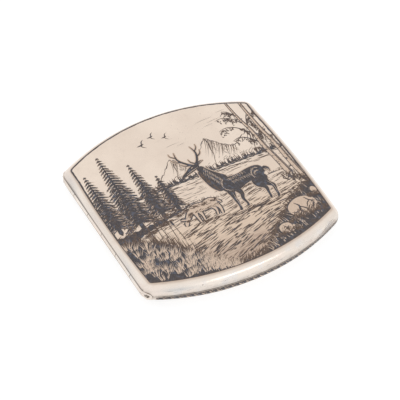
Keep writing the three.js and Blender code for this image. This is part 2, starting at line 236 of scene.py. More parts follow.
class Graph:
    # the node tree of a material or of the world
    def __init__(self, owner):
        owner.use_nodes = True
        self.owner, self.tree = owner, owner.node_tree
        self.tree.nodes.clear()

    def add(self, kind, settings=None, sockets=None, out=0):
        # a node by type; settings first, then the values or links of its sockets
        node = self.tree.nodes.new("ShaderNode" + kind)
        for key, value in (settings or {}).items():
            setattr(node, key, value)
        for key, value in (sockets or {}).items():
            if isinstance(value, Value):
                self.tree.links.new(value.socket, node.inputs[key])
            else:
                node.inputs[key].default_value = value
        return Value(self, node.outputs[out]) if len(node.outputs) else node

    def mix(self, share, a, b):
        # colours; 6 and 7 are the colour sockets of a Mix node, and 2 its colour result
        a, b = (v if isinstance(v, Value) else (*v, 1) for v in (a, b))
        return self.add("Mix", {"data_type": "RGBA"}, {0: share, 6: a, 7: b}, out=2)

    def noise(self, size, detail=3.0, roughness=0.5, scale=(1, 1, 1), angle=0):
        # soft noise whose blotches are about size millimetres, stretched and turned about Z
        coordinates = self.add("TexCoord", out=3)
        sockets = {"Scale": tuple(s / mm for s in scale), "Rotation": (0, 0, math.radians(angle))}
        place = self.add("Mapping", None, {"Vector": coordinates, **sockets})
        sockets = {"Vector": place, "Scale": 1 / size, "Detail": detail, "Roughness": roughness}
        return self.add("TexNoise", None, sockets)

    def attribute(self, name):
        return self.add("Attribute", {"attribute_name": name}, out=2)

    def ramp(self, value, low, high, start=0.0, end=1.0):
        # an eased rise from start to end while the value goes from low to high
        sockets = {"Value": value, "From Min": low, "From Max": high, "To Min": start, "To Max": end}
        return self.add("MapRange", {"interpolation_type": "SMOOTHSTEP"}, sockets)

    def metal(self, colour, roughness, height, depth, share=1.0):
        # height is the shape of the bumps and depth their size in millimetres, share how metallic it is
        bump = self.add("Bump", None, {"Height": height, "Distance": depth * mm, "Strength": 1.0})
        return self.finish({"Base Color": colour, "Metallic": share, "Roughness": roughness, "Normal": bump})

    def finish(self, sockets):
        shader = self.add("BsdfPrincipled", None, sockets)
        self.add("OutputMaterial", None, {"Surface": shader})
        return self.owner


silverLook = {
    "white": [(0.86, 0.78, 0.705), (0.8, 0.717, 0.64)], "panel": [(0.855, 0.735, 0.63), (0.8, 0.68, 0.58)],
    "rosy": (0.86, 0.745, 0.67), "cool": (0.74, 0.715, 0.7), "beside": (0.46, 0.36, 0.3),
    "dull": (0.6, 0.585, 0.575), "sandy": (0.79, 0.615, 0.465), "ground": (0.5, 0.375, 0.295),
    "grain": (0.5, 0.4, 0.33), "stain": (0.56, 0.47, 0.4), "mark": (0.46, 0.39, 0.34),
    "tarnishAndSeamShade": (0.34, 0.285, 0.245), "dirt": (0.075, 0.06, 0.05),
    "gilt": [(0.83, 0.62, 0.32), (0.79, 0.62, 0.4)], "paleGilt": (0.74, 0.66, 0.54),
    "marks": [(1.1, 14, 0.006), (1.4, -38, 0.005), (0.9, 82, 0.004)],  # size, angle, thinness
}


def scratches(g, size, angle, thin):
    # long thin marks: a stretched noise cut to a narrow band of its values, kept in a few places
    lines = g.noise(size, 0.0, 0.5, (0.02, 1, 1), angle)
    kept = g.ramp(g.noise(7 + size, 1), 0.50, 0.62)
    return g.ramp(abs(lines - 0.5), 0.0, thin, 1.0, 0.0) * kept


def makeSilver():
    # white on the rolls and warm on the panels, partly as painted reflection; browned ground between the
    # strokes, gilt inside; painted shade and painted reflections on the rolls and in the seams
    g = Graph(bpy.data.materials.new("worn_silver"))
    look = silverLook
    rim, ground, dull = g.attribute("rim"), g.attribute("ground"), g.attribute("dull")
    panel = g.ramp(rim, 0.55, 1.0)
    broad, middle, grain = g.noise(17, 3), g.noise(3.1, 4), g.noise(0.22, 2)
    blush = g.noise(5.5, 2, 0.5, (1, 0.5, 1))
    # painted rosy and cool reflection tints in soft blotches on the white silver
    white = g.mix(g.ramp(broad, 0.35, 0.65), *look["white"])
    white = g.mix(g.ramp(blush, 0.50, 0.66, 0, 0.6), white, look["rosy"])
    white = g.mix(g.ramp(blush, 0.46, 0.34, 0, 0.6), white, look["cool"])
    # panels and upper rolls warmer by how far the surface turns up: warm tarnish of the ground and a painted
    # warm reflection
    colour = g.mix(panel, white, g.mix(g.ramp(broad, 0.35, 0.65), *look["panel"]))
    # a darker brownish band on the roll just outside the border line: tarnish there and a painted darker
    # reflection
    beside = g.ramp(rim, 0.74, 0.95) * g.ramp(rim, 0.985, 1.0, 1, 0)
    colour = g.mix(beside * (0.35 + middle * 0.5), colour, look["beside"])
    # painted dim, greyish reflections in soft spots on the lid's rolls
    colour = g.mix(dull * (0.75 + middle * 0.4), colour, look["dull"])
    streak = g.noise(0.55, 3, 0.6, (0.10, 1, 1), -17)
    colour = g.mix(g.ramp(ground, 0.0, 0.3, 0, 0.7), colour, look["sandy"])
    colour = g.mix(ground * (0.45 + g.ramp(streak, 0.35, 0.65, 0, 0.55)), colour, look["ground"])
    colour = g.mix(g.ramp(grain, 0.42, 0.72, 0, 0.22) * panel, colour, look["grain"])
    colour = g.mix(g.ramp(middle, 0.56, 0.80, 0, 0.18), colour, look["stain"])
    first, second, third = (scratches(g, *mark) for mark in look["marks"])
    marks = (first + second + third).upTo(1)
    colour = g.mix(marks * 0.22, colour, look["mark"])
    # tarnish in blotches near the cut edge, plus a painted shade that darkens each roll toward the seam
    tarnishAndSeamShade = g.ramp(rim, 0.0, 0.16, 1, 0) * g.ramp(middle, 0.38, 0.6)
    colour = g.mix(tarnishAndSeamShade * 0.35 + g.ramp(rim, 0.0, 0.45, 0.26, 0), colour, look["tarnishAndSeamShade"])
    # dirt and painted shade in the seam, at the barrel, in the hinge gaps and in the bore
    colour = g.mix(g.attribute("dirt") * 0.88, colour, look["dirt"])
    gilt = g.mix(g.ramp(broad, 0.3, 0.75), *look["gilt"])
    gilt = g.mix(g.ramp(grain, 0.5, 0.8, 0, 0.3), gilt, look["paleGilt"])
    colour = g.mix(g.attribute("gilt"), colour, gilt)
    roughness = 0.27 + panel * 0.13 + (middle - 0.5) * 0.16 + marks * 0.07
    height = broad * 0.6 + middle * 0.05 + grain * panel * 0.012 - marks * 0.006
    return g.metal(colour, roughness, height, 0.5)


gildedLook = {"gold": [(0.83, 0.61, 0.30), (0.76, 0.60, 0.40)], "worn": (0.72, 0.66, 0.58)}


def makeGilded():
    # thin gilding, worn to silver in places
    g = Graph(bpy.data.materials.new("worn_gilding"))
    middle, fine = g.noise(3.1, 4), g.noise(0.4, 3)
    gold = g.mix(g.ramp(middle, 0.4, 0.66), *gildedLook["gold"])
    colour = g.mix(g.ramp(fine, 0.55, 0.75, 0, 0.35), gold, gildedLook["worn"])
    return g.metal(colour, 0.3 + (fine - 0.5) * 0.2, middle + fine * 0.1, 0.05)


engravedLook = {
    "core": [(0.052, 0.046, 0.050), (0.086, 0.077, 0.080)], "cloud": (0.108, 0.120, 0.158),
    "brown": [(0.125, 0.073, 0.046), (0.20, 0.128, 0.083)],
    "bright": [(0.69, 0.545, 0.435), (0.57, 0.44, 0.345)],
}


def makeEngraved():
    # niello where cut is 0, brown at thin edges and where it is worn; bright cut silver where cut is 1
    g = Graph(bpy.data.materials.new("engraved_niello"))
    look, cut, edge = engravedLook, g.attribute("cut"), g.attribute("edge") ** 3
    fine = g.noise(0.5, 3)
    core = g.mix(g.ramp(fine, 0.3, 0.7), *look["core"])
    core = g.mix(g.ramp(g.noise(1.4, 3), 0.50, 0.70, 0, 0.8), core, look["cloud"])
    brown = g.mix(g.ramp(fine, 0.3, 0.7), *look["brown"])
    worn = g.ramp(g.noise(4.2, 4), 0.56, 0.74, 0, 0.25)
    bright = g.mix(g.ramp(g.noise(0.22, 2), 0.35, 0.7), *look["bright"])
    colour = g.mix(cut, g.mix((edge * 0.85 + worn).upTo(1), core, brown), bright)
    return g.metal(colour, 0.42 + (fine - 0.5) * 0.2, fine, 0.012, 0.5 + cut * 0.5)


steelLook = [(0.46, 0.41, 0.36), (0.30, 0.26, 0.22)]


def makePinSteel():
    g = Graph(bpy.data.materials.new("pin_steel"))
    fine = g.noise(0.35, 3)
    colour = g.mix(g.ramp(fine, 0.3, 0.7), *steelLook)
    return g.metal(colour, 0.45 + (fine - 0.5) * 0.3, fine, 0.03)


silver = makeSilver()
gilded = makeGilded()
engraved = makeEngraved()
pinSteel = makePinSteel()
print("materials made")

# The two halves of the case: outside, seam or hinge room, hollow, each one closed skin
shell = {
    "panelRings": 26, "rimRows": 30, "hollowRimRows": 12, "hollowRings": 10, "chamfer": 0.07,
    "edgeRows": [0.07, 0.3, 0.5, 0.7, 0.9],  # places across the cut edge
    # dirt and painted shade along the cut edge, which draw the seam as a dark line
    "edgeDirtAndShade": [1, 0.7, 0.2, 0.12, 0.12, 0.2],  # on the outer corner and on those rows
    "hingeStart": -41.0, "hingeReach": 33.0, "filedStart": -36.0,
    # painted shadow of the gap that rises from the barrel up the lid's roll: its height at places along Y
    "barrelGapShadePlaces": [8, 22, 27, 32], "barrelGapShadeHeights": [0.5, 0.75, 0.7, 0.45], "barrelGapShadeFrom": 1.35,
    "baseDirtAndShade": 0.1, "baseClearedRim": 0.45,  # under the barrel the roll gets less dirt and painted shade, and neither tarnish nor painted darkening toward the seam
    # bare ground between the strokes is shaded below the far shore, more and more toward the front
    "groundPlaces": [-43, -38, -33, -28, -22, -10, 3, 7],
    "groundShades": [2.0, 1.6, 1.1, 0.65, 0.3, 0.12, 0.1, 0],
    # places of painted dim reflections on the rolls: x, y, z over the seam, spans of each, amount
    "paintedReflectionSpots": [
        (-31, -39.4, 2.3, 8, 3, 0.7, 0.95), (-12, -43.6, 0.9, 9, 3, 0.6, 0.5),
        (8, -43.4, 1.6, 6, 3, 0.6, 0.45), (24, -41.4, 2.6, 7, 3, 0.8, 0.25), (37, -37, 2.0, 4, 4, 1.2, 0.15),
        (-41.6, -18, 2.4, 2, 7, 1.0, 0.45), (-41.4, 6, 2.6, 2, 6, 1.0, 0.4), (-41, 28, 2.6, 2, 5, 1.2, 0.5),
        (42, 0, 2.0, 3, 9, 1.2, 0.5), (0, 44, 2.0, 12, 3, 1.0, 0.5),
    ],
}


def paintedReflectionShade(points):
    # painted dim reflections: the sum of soft spots on the rolls, each falling away as exp(-distance squared)
    total = 0
    for x, y, z, spanX, spanY, spanZ, amount in shell["paintedReflectionSpots"]:
        away = ((points - [x, y, z]) / [spanX, spanY, spanZ]) ** 2
        total = total + amount * np.exp(-away.sum(1))
    return np.clip(total, 0, 1)


def shellRows(face):
    # groups of rows of stations: the panel from its middle, the rim, the cut edge, and the same back inside
    panel, outer, inner = outline(panelShape), outline(caseShape), outline(caseShape, case["wall"])
    first = turnAt(face, 0, outer, panel, cutHeight)
    inFirst = turnAt(face, case["wall"], inner, panel, cutHeight)
    quarter = math.pi / 2

    def crown(start, end, count, drop):
        flat = panel * np.linspace(start, end, count, endpoint=False)[1:, None, None]
        return np.concatenate([flat, face(flat[..., :1]) - drop], -1)

    share = np.linspace(1, 0, shell["rimRows"])[:, None]
    rim = rimPoint(face, 0, outer, panel, first + (quarter - first) * share)
    rim[-1, :, 2] += shell["chamfer"]
    rim[-2] = (rim[-1] * 2 + rim[-3]) / 3
    share = np.linspace(0, 1, shell["hollowRimRows"])[:, None]
    hollowRim = rimPoint(face, case["wall"], inner, panel, inFirst + (quarter - inFirst) * share)
    edge = rim[-1] + (hollowRim[0] - rim[-1]) * np.array(shell["edgeRows"])[:, None, None]
    edge[..., 2] = cutHeight(edge[..., 0])
    hollowRim[0, :, 2] += shell["chamfer"] / 2
    top, ceiling = crown(0, 1, shell["panelRings"], 0), crown(1, 0, shell["hollowRings"], case["wall"])
    return top, rim, edge, hollowRim, ceiling


def shellShades(face, points, groups):
    # rim falls from 1 on the panel to 0 at the cut edge, gilt marks the hollow, the rest are amounts of
    # ground tone, dirt with painted shade, and painted dim reflection
    top, rim, edge, hollowRim, ceiling = groups
    outside, hollow = len(top) + len(rim), len(hollowRim) + len(ceiling)
    count, isLid = rim.shape[1], face is lidFace
    rimValue = np.concatenate([
        np.ones(len(top)), np.linspace(1, 0, len(rim)), np.zeros(len(edge) + hollow),
    ])
    gilt = np.repeat([0, 1], [outside + len(edge), hollow])
    cornerX, cornerY = rim[-1, :, 0], rim[-1, :, 1]
    filed = (cornerX < shell["filedStart"]) & (np.abs(cornerY) > shell["hingeReach"])
    underBarrel = (cornerX < shell["hingeStart"]) & (not isLid)
    # dirt and painted shade along the cut edge; none at the filed corners, little under the barrel
    soiledAndShaded = np.where(filed, 0, np.array(shell["edgeDirtAndShade"])[:, None])
    soiledAndShaded = np.where(underBarrel, np.minimum(soiledAndShaded, shell["baseDirtAndShade"]), soiledAndShaded)
    # painted shadow of the gap between the barrel and the roll, fainter on the base
    over = rim[..., 2] - cutHeight(rim[..., 0])
    beside = (rim[..., 0] < shell["hingeStart"]) & (np.abs(rim[..., 1]) < shell["hingeReach"])
    reach = np.interp(rim[..., 1], shell["barrelGapShadePlaces"], shell["barrelGapShadeHeights"])
    barrelGapShade = np.clip(shell["barrelGapShadeFrom"] - over / reach, 0, 1)
    dirt = np.zeros((len(rimValue), count))
    dirt[outside - 1:outside + len(edge)] = soiledAndShaded
    barrelGapShade = barrelGapShade * beside * (1 if isLid else shell["baseDirtAndShade"])
    dirt[len(top):outside] = np.maximum(dirt[len(top):outside], barrelGapShade)
    # under the barrel the rim value is raised, which clears tarnish and the painted darkening toward the seam
    rimCleared = np.maximum(rimValue[:, None], shell["baseClearedRim"] * underBarrel)
    ground = np.interp(points[:, 1], shell["groundPlaces"], shell["groundShades"])
    # the last two values belong to the hubs in the middle of the panel and of the hollow
    return {
        "rim": np.append(rimCleared.ravel(), [1, 0]),
        "ground": ground * np.append(np.repeat(rimValue > 0.99, count), [1, 0]) * isLid,
        "gilt": np.append(np.repeat(gilt, count), [0, 1]),
        "dirt": np.append(dirt.ravel(), [0, 0]),
        "dull": paintedReflectionShade(points) * np.append(np.repeat(rimValue < 0.99, count), [0, 0]) * isLid,
    }


def shellSkin(face):
    # the rows joined into one closed skin, with a hub in the middle of the panel and of the hollow
    groups = shellRows(face)
    grid = np.concatenate(groups)
    rows, count = grid.shape[:2]
    points = np.concatenate([grid.reshape(-1, 3), [[0, 0, face(0.0)], [0, 0, face(0.0) - case["wall"]]]])
    faces = [tuple(q) for q in quads(rows, count)[:, ::-1]]
    faces += fan(rows * count, 0, count) + fan(rows * count + 1, (rows - 1) * count, count, True)
    return points, faces, shellShades(face, points, groups)


def lifted(points, faces):
    return points + [0, 0, lidSeam], faces


def turnedOver(points, faces):
    # the base is drawn upward from its seam and turned over, which reverses its faces
    return points * [1, 1, -1] + [0, 0, seamHeight], [tuple(f)[::-1] for f in faces]


points, faces, values = shellSkin(lidFace)
makePiece("lidCase", *lifted(points, faces), "lid", silver, "silver", ["lid_shell"], values)
points, faces, values = shellSkin(baseFace)
makePiece("baseCase", *turnedOver(points, faces), "base", silver, "silver", ["base_shell"], values)
print("case halves made")

# Knuckles: tubes with a foot that beds in the trough of their own half
knuckle = {
    "step": 5, "ease": np.array([0, 0.05, 0.12]), "draw": np.array([0.10, 0.03, 0.0]),  # rounded end edges
    "swell": 0.17, "swellTurn": 290, "rim": 0.35, "boreDirtAndShade": 0.5, "endDirtAndShade": 0.06,
}
centreX, centreY = cornerCentre(caseShape, math.inf, 0, case["corner"])
barrelOut = case["corner"] - hinge["radius"]
barrelReach = centreY + math.sqrt(case["corner"] ** 2 - barrelOut**2)


def outlineReach(x):
    # how far along Y the case outline lies at an x near the hinge corner
    out = np.clip(-x - centreX, 0, case["corner"] - 1e-6)
    end = halfLength - arcFall(caseShape["endRadius"], x)
    return np.where(-x > centreX, centreY + np.sqrt(case["corner"] ** 2 - out**2), end)


def knuckleSkin(index):
    # a section of barrel arc, foot arc and bore, carried along Y and filed to the outline at the ends
    first, last = index == 0, index == hinge["knuckles"] - 1
    barrel = np.arange(hinge["footEnd"], hinge["footStart"] + 361, knuckle["step"])
    foot = np.arange(hinge["footStart"], hinge["footEnd"] + 1, knuckle["step"])
    turn = np.concatenate([barrel, foot])
    footRadius = coveRadius - hinge["solderGap"]
    radius = np.repeat([hinge["radius"], footRadius], [len(barrel), len(foot)])[:, None]
    bore = hinge["pinRadius"] + hinge["pinClearance"]
    way = np.stack(oval(0, 0, 1, 1, turn), 1)
    pitch = 2 * barrelReach / hinge["knuckles"]
    start = index * pitch - barrelReach + hinge["gap"] / 2
    end = start + pitch - hinge["gap"]
    along = np.concatenate([start + knuckle["ease"], end - knuckle["ease"][::-1]])
    inset = np.concatenate([knuckle["draw"], knuckle["draw"][::-1]])
    kept = slice(2 if first else 0, -2 if last else None)
    along, inset = along[kept], inset[kept]
    outer = way * (radius - inset[:, None, None])
    # toward the case end the outermost knuckles swell to meet the roll of the other half
    facing = np.sqrt(np.clip(np.cos(np.radians(turn - knuckle["swellTurn"])), 0, 1))[:, None]
    swell = 1 + knuckle["swell"] * facing * (radius == hinge["radius"]) / radius
    if first:
        outer[0] *= swell
    if last:
        outer[-1] *= swell
    hole, mouth = way * bore, way * (bore + hinge["mouth"])
    ring = np.concatenate([outer, [mouth, hole, hole, mouth]])
    x = ring[..., 0] + axisX
    y = np.repeat(np.append(along, along[[-1, -1, 0, 0]])[:, None], len(turn), 1)
    # dirt and painted shade on the foot, the end faces, round the bore and in it; little at the case ends
    dirt = np.zeros(x.shape)
    dirt[:, len(barrel):] = 1
    dirt[[0, -1, -4, -5]] = 1
    dirt[[-2, -3]] = knuckle["boreDirtAndShade"]
    if first:
        y[[0, -1, -2]] = -outlineReach(x[[0, -1, -2]])
        dirt[[0, -1]] = knuckle["endDirtAndShade"]
    if last:
        y[[-5, -4, -3]] = outlineReach(x[[-5, -4, -3]])
        dirt[[-4, -5]] = knuckle["endDirtAndShade"]
    y[-2] += hinge["mouth"]
    y[-3] -= hinge["mouth"]
    grid = np.stack([x, y, ring[..., 1]], -1)
    return grid.reshape(-1, 3), quads(len(grid) + 1, len(turn)) % x.size, dirt.ravel()


for index in range(hinge["knuckles"]):
    side = "base" if index % 2 == 0 else "lid"
    points, faces, dirt = knuckleSkin(index)
    if side == "base":
        points = points * [1, 1, -1]
        faces = faces[:, ::-1]
    points = points + [0, 0, axisZ]
    node = f"{side}_knuckle_{index // 2 + 1}"
    values = {"rim": np.full(len(points), knuckle["rim"]), "dirt": dirt}
    makePiece(f"{side}Knuckle{index // 2 + 1}", points, faces, side, silver, "silver", [node], values)
print("knuckles made")

# The pin: a rod with worn, slightly rounded ends
rod = {"steps": 48, "round": 0.12, "roundRows": 5, "recess": 0.12}


def pinSkin():
    # a circle carried along Y; its last rings draw in over a small round
    turn = np.linspace(0, 2 * math.pi, rod["steps"], endpoint=False)
    reach = barrelReach - rod["recess"]
    bend = np.linspace(0, math.pi / 2, rod["roundRows"])
    fall = rod["round"] * (1 - np.sin(bend))
    draw = rod["round"] * (1 - np.cos(bend))
    y = np.concatenate([fall[::-1] - reach, reach - fall])[:, None]
    radius = hinge["pinRadius"] - np.concatenate([draw[::-1], draw])[:, None]
    x, z = axisX + radius * np.cos(turn), axisZ + radius * np.sin(turn)
    grid = np.stack([x, y + 0 * x, z], -1)
    rows, count = x.shape
    faces = [tuple(q) for q in quads(rows, count)]
    faces += fan(rows * count, 0, count, True) + fan(rows * count + 1, (rows - 1) * count, count)
    hubs = [[axisX, -reach, axisZ], [axisX, reach, axisZ]]
    return np.concatenate([grid.reshape(-1, 3), hubs]), faces


makePiece("hingePin", *pinSkin(), "base", pinSteel, "pin_steel", ["hinge_pin"])

# The border line round each panel: a shallow strip let in along the panel outline
border = {
    "width": 0.7, "lift": 0.012, "depth": 0.03,
    "backWidth": 0.66, "backShift": 0.62, "backStart": 26, "backEnd": 34,
    "across": np.array([0, 0, 0.25, 0.5, 0.75, 1, 1]), "edge": [0.8, 0.8, 0.7, 0.4, 0.4, 0.6, 0.6],
}


def backShare(y):
    # 0 in front, rising to 1 along the back end, where the border line lies on the roll
    return np.clip((y - border["backStart"]) / (border["backEnd"] - border["backStart"]), 0, 1)


def borderSkin(face, phase):
    # rings from outside to inside, the first and last sunk; the width wanders a little, as a hand-cut
    # line does, and the line shifts a little onto the roll along the back end
    panel, outer = outline(panelShape), outline(caseShape)
    inward = outline(panelShape, 1) - panel
    rows, count = len(border["across"]), len(panel)
    back = backShare(panel[:, 1])
    along = np.linspace(0, 2 * math.pi, count, endpoint=False)
    wander = 0.08 * np.sin(41 * along + phase) + 0.06 * np.sin(97 * along + 2 * phase)
    width = (border["width"] + (border["backWidth"] - border["width"]) * back) * (1 + wander)
    out = border["backShift"] * back - width * border["across"][:, None]
    flat = panel - inward * out[..., None]
    fall = np.sqrt(1 - (np.clip(out, 0, None) / np.linalg.norm(outer - panel, axis=1)) ** 2)
    lift = np.full((rows, 1), border["lift"])
    lift[[0, -1]] = -border["depth"]
    grid = np.concatenate([flat, (face(flat[..., 0]) * fall + lift)[..., None]], -1)
    edge = np.repeat(border["edge"], count)
    return grid.reshape(-1, 3), quads(rows + 1, count) % (rows * count), {"edge": edge, "cut": edge * 0}


def addInlay(name, skin, body, nodes):
    # niello on the lid, or turned over on the base
    points, faces, values = skin
    place = lifted if body == "lid" else turnedOver
    return makePiece(name, *place(points, faces), body, engraved, "niello", nodes, values)


addInlay("lidBorderLine", borderSkin(lidFace, 0.4), "lid", ["lid_niello_border"])
addInlay("baseBorderLine", borderSkin(baseFace, 2.1), "base", ["base_niello_border"])
print("border lines made")

# Strokes: tapered ribbons that lie on a face, in layers from the ground up
stroke = {
    "lift": border["lift"], "layer": 0.009, "spread": 0.003, "inset": 0.3, "least": 0.004,
    "thinBelow": 0.28, "thinFrom": 1.35, "thinMost": 0.95, "sideEdge": 0.55, "thinEdge": 0.42,
}
rng = np.random.default_rng(11)


def panelSideX(y):
    return panelHalfWidth - arcFall(panelSide, y)


def panelEndY(x):
    return panelHalfLength - arcFall(panelShape["endRadius"], x)


def keepInPanel(flat, inset):
    # points past the border line are drawn back onto it
    x = np.clip(flat[..., 0], inset - panelHalfWidth, panelHalfWidth - inset)
    reach = panelEndY(x) - inset
    y = np.clip(flat[..., 1], -reach, reach)
    reach = panelSideX(y) - inset
    return np.stack([np.clip(x, -reach, reach), y], -1)


def lengthAlong(path):
    # the length from the start of a path to each of its points
    return np.append(0, np.cumsum(np.hypot(*np.diff(path[:, :2], axis=0).T)))


def spline(points, count):
    # a Catmull-Rom curve through points of any number of columns, then spaced evenly by its length
    p = np.asarray(points, float)
    p = np.concatenate([2 * p[:1] - p[1:2], p, 2 * p[-1:] - p[-2:-1]])
    t = np.linspace(0, len(p) - 3 - 1e-9, count * 6)
    i = t.astype(int)
    u = (t - i)[:, None]
    a, b, c, d = p[i], p[i + 1], p[i + 2], p[i + 3]
    curve = 0.5 * (2 * b + (c - a) * u + (2 * a - 5 * b + 4 * c - d) * u**2 + (3 * b - a - 3 * c + d) * u**3)
    far = lengthAlong(curve)
    even = np.linspace(0, far[-1], count)
    return np.stack([np.interp(even, far, column) for column in curve.T], 1)


def scatter(count, low, high):
    # random places between two limits
    return rng.uniform(low, high, count)


def around(middle, spread, count):
    # random places that crowd round a middle
    return rng.normal(middle, spread, count)


def vary(places, low, high):
    # a random value between two limits for each place
    return rng.uniform(low, high, len(places))


def jitter(places, spread):
    # a small random error for each place
    return rng.normal(0, spread, len(places))


class Drawing:
    # gathers strokes in layers: even layers are niello, odd ones bright cuts
    def __init__(self):
        self.batches = []

    def paths(self, layer, flat, width):
        # flat is strokes x points x 2, width the half-width at each point
        self.batches.append((layer, np.asarray(flat, float), np.clip(width, stroke["least"], None)))

    def run(self, layer, x, y, width):
        # one stroke along arrays of x and y
        self.paths(layer, np.stack([x, y], -1)[None], width[None])

    def line(self, layer, points, count=22, grow=0.0, rounded=True):
        # one stroke through points of x, y and half-width, with round ends
        x, y, width = spline(points, count).T
        width = width + grow
        if rounded:
            far = lengthAlong(np.stack([x, y], 1))
            for away, end in ((far, width[0]), (far[-1] - far, width[-1])):
                near = np.clip(away / max(end, 1e-3), 0, 1)
                width = width * np.sqrt(np.clip(1 - (1 - near) ** 2, 0.0, 1))
        self.run(layer, x, y, width)

    def lines(self, layer, many, count=22, grow=0.0):
        for points in many:
            self.line(layer, points, count, grow)

    def hatch(self, layer, x, y, angle, length, width, bend=0.0, count=6, rooted=False):
        # many strokes at once from their starts; the heading turns by bend degrees along each. A pair
        # stands for random values: middle and spread of an angle or a bend, limits of a length or a width
        draws = ((angle, rng.normal), (length, rng.uniform), (width, rng.uniform), (bend, rng.normal))
        values = [draw(*value, len(x)) if isinstance(value, tuple) else value for value, draw in draws]
        x, y, angle, length, width, bend = np.broadcast_arrays(x, y, *values)
        t = np.linspace(0, 1, count)
        heading = np.radians(angle[:, None] + bend[:, None] * (t - 0.5))
        step = (length / (count - 1))[:, None]
        run = np.stack([np.cos(heading), np.sin(heading)], -1)[:, :-1] * step[..., None]
        away = np.concatenate([np.zeros((len(x), 1, 2)), np.cumsum(run, 1)], 1)
        shape = (1 - t) ** 0.8 if rooted else np.sin(math.pi * np.clip(t, 0.02, 0.98)) ** 0.7
        self.paths(layer, away + np.stack([x, y], -1)[:, None], width[:, None] * shape)

    def grass(self, layer, x, y, angle, length, width, bend=0.0, count=5):
        # strokes that are widest at their starts
        self.hatch(layer, x, y, angle, length, width, bend, count, True)

    def fill(self, layer, x, top, low):
        # the area between two lines over the same x
        rows = np.stack([low, (top + low) / 2, top], 1)
        flat = np.stack([np.broadcast_to(x[:, None], rows.shape), rows], -1)
        self.batches.append((layer, flat[None], None))

    def skin(self, place):
        # three points across each stroke: its right edge, its middle and its left edge
        points, faces, edges, cuts, start = [], [], [], [], 0
        for layer, flat, width in self.batches:
            if width is None:
                grid, thin = flat, np.zeros(flat.shape[:2])
            else:
                thin = np.clip(stroke["thinFrom"] - width / stroke["thinBelow"], 0, stroke["thinMost"])
                way = np.gradient(flat, axis=1)
                way /= np.maximum(np.linalg.norm(way, axis=-1, keepdims=True), 1e-9)
                side = np.stack([-way[..., 1], way[..., 0]], -1) * width[..., None]
                grid = np.stack([flat - side, flat, flat + side], 2)
            strokes, rows = grid.shape[:2]
            spread = rng.uniform(0, stroke["spread"], (strokes, 1, 1))
            points.append(place(grid, stroke["lift"] + stroke["layer"] * layer + spread).reshape(-1, 3))
            cell = quads(rows, 3, closed=False)[:, ::-1]
            first = start + np.arange(strokes)[:, None, None] * rows * 3
            faces.append((cell + first).reshape(-1, 4))
            side = stroke["sideEdge"] + stroke["thinEdge"] * thin
            edges.append(np.stack([side, thin, side], -1).ravel())
            cuts.append(np.full(strokes * rows * 3, float(layer % 2)))
            start += strokes * rows * 3
        values = {"edge": np.concatenate(edges), "cut": np.concatenate(cuts)}
        return np.concatenate(points), np.concatenate(faces), values


def onFace(face):
    # flat points inside the border line, on the crowned face
    def place(flat, rise):
        kept = keepInPanel(flat, stroke["inset"] * (1 - backShare(flat[..., 1])))
        return np.concatenate([kept, (face(kept[..., 0]) + rise)[..., None]], -1)
    return place


# The picture on the lid: deer by a mountain lake, firs on the left, birches on the right. Places are x and y
# in millimetres, and the third number of a point is the half-width of a stroke there
mountains = {
    "ridge": [
        (-41, 12), (-34, 9), (-27, 12), (-20, 7.5), (-14, 8), (-8, 13.5), (-3.6, 18.5), (-0.5, 14.6),
        (2.5, 11.5), (6, 13.2), (10, 18), (13.6, 22.4), (16.2, 19.6), (19.5, 15.6), (23, 13.8), (27, 16.6),
        (30.5, 18.4), (34, 15.4), (40, 11.5),
    ],
    "peaks": [(-3.6, 2.5, -1.6), (13.6, 23, -2.2), (30.5, 39, -1.4), (-20, -14, 0)],  # peak, valley, spur
    "foot": 7.2,
    # along a spur: shift, share of the spur, share of the drop, half-width
    "spur": [
        (0, 0, 0, 0.2), (0.5, 0, 0.2, 0.19), (0, 0.1, 0.42, 0.17), (0.3, 0.3, 0.6, 0.14),
        (0, 0.7, 0.82, 0.11), (0, 1, 1, 0.05),
    ],
    "shade": 2.9, "slopes": 2.4, "scree": 44,  # strokes to a millimetre of skyline, and at the foot
}


def ridgeY(x):
    return np.interp(x, *np.transpose(mountains["ridge"]))


def drawMountains():
    # the skyline, spurs that fall from each peak, hatching on the shaded side of each
    d = Drawing()
    x = np.linspace(-22, 39.5, 150)
    skyline = ridgeY(x) + 0.25 * np.sin(2.3 * x) + 0.18 * np.sin(5.1 * x + 1)
    d.run(0, x, skyline, 0.15 + 0.06 * np.sin(1.7 * x))
    for peakX, valleyX, spur in mountains["peaks"]:
        peakY = ridgeY(peakX)
        drop = peakY - mountains["foot"]
        if spur:
            d.line(0, [(peakX + shift + spur * out, peakY - drop * down, fat)
                       for shift, out, down, fat in mountains["spur"]], 30)
        wide = abs(valleyX - peakX)
        x = np.linspace(peakX + 0.2, valleyX, int(wide * mountains["shade"]))
        x = x + jitter(x, 0.1)
        fall = np.clip((ridgeY(x) - mountains["foot"] - 0.3) * vary(x, 0.45, 0.95), 0.6, None)
        d.grass(0, x, ridgeY(x) - 0.1, (-112, 6), fall, (0.09, 0.17), -16, 8)
        x = scatter(int(wide * mountains["slopes"]), peakX + 0.5, valleyX)
        d.hatch(0, x, ridgeY(x) - vary(x, 1, 6), (-64, 7), (1, 2.6), 0.075, 12)
    x = scatter(mountains["scree"], -12, 38)
    y = 7.3 + (ridgeY(x) - 8) * vary(x, 0, 0.35) ** 1.4
    d.hatch(0, x, y, (28, 14), (1.2, 3.4), (0.06, 0.11), 10)
    return d


sky = {
    "ducks": [(-9.5, 30.5, 1.0), (-4.2, 32.8, 0.85), (0.6, 30.2, 0.78)],  # x, y, size
    "clouds": [(14, 31, 9), (19, 29.4, 7), (16.5, 27.8, 5), (-2, 24.6, 6), (2.5, 23.4, 4), (25, 33, 4)],
    "specks": 26,
}


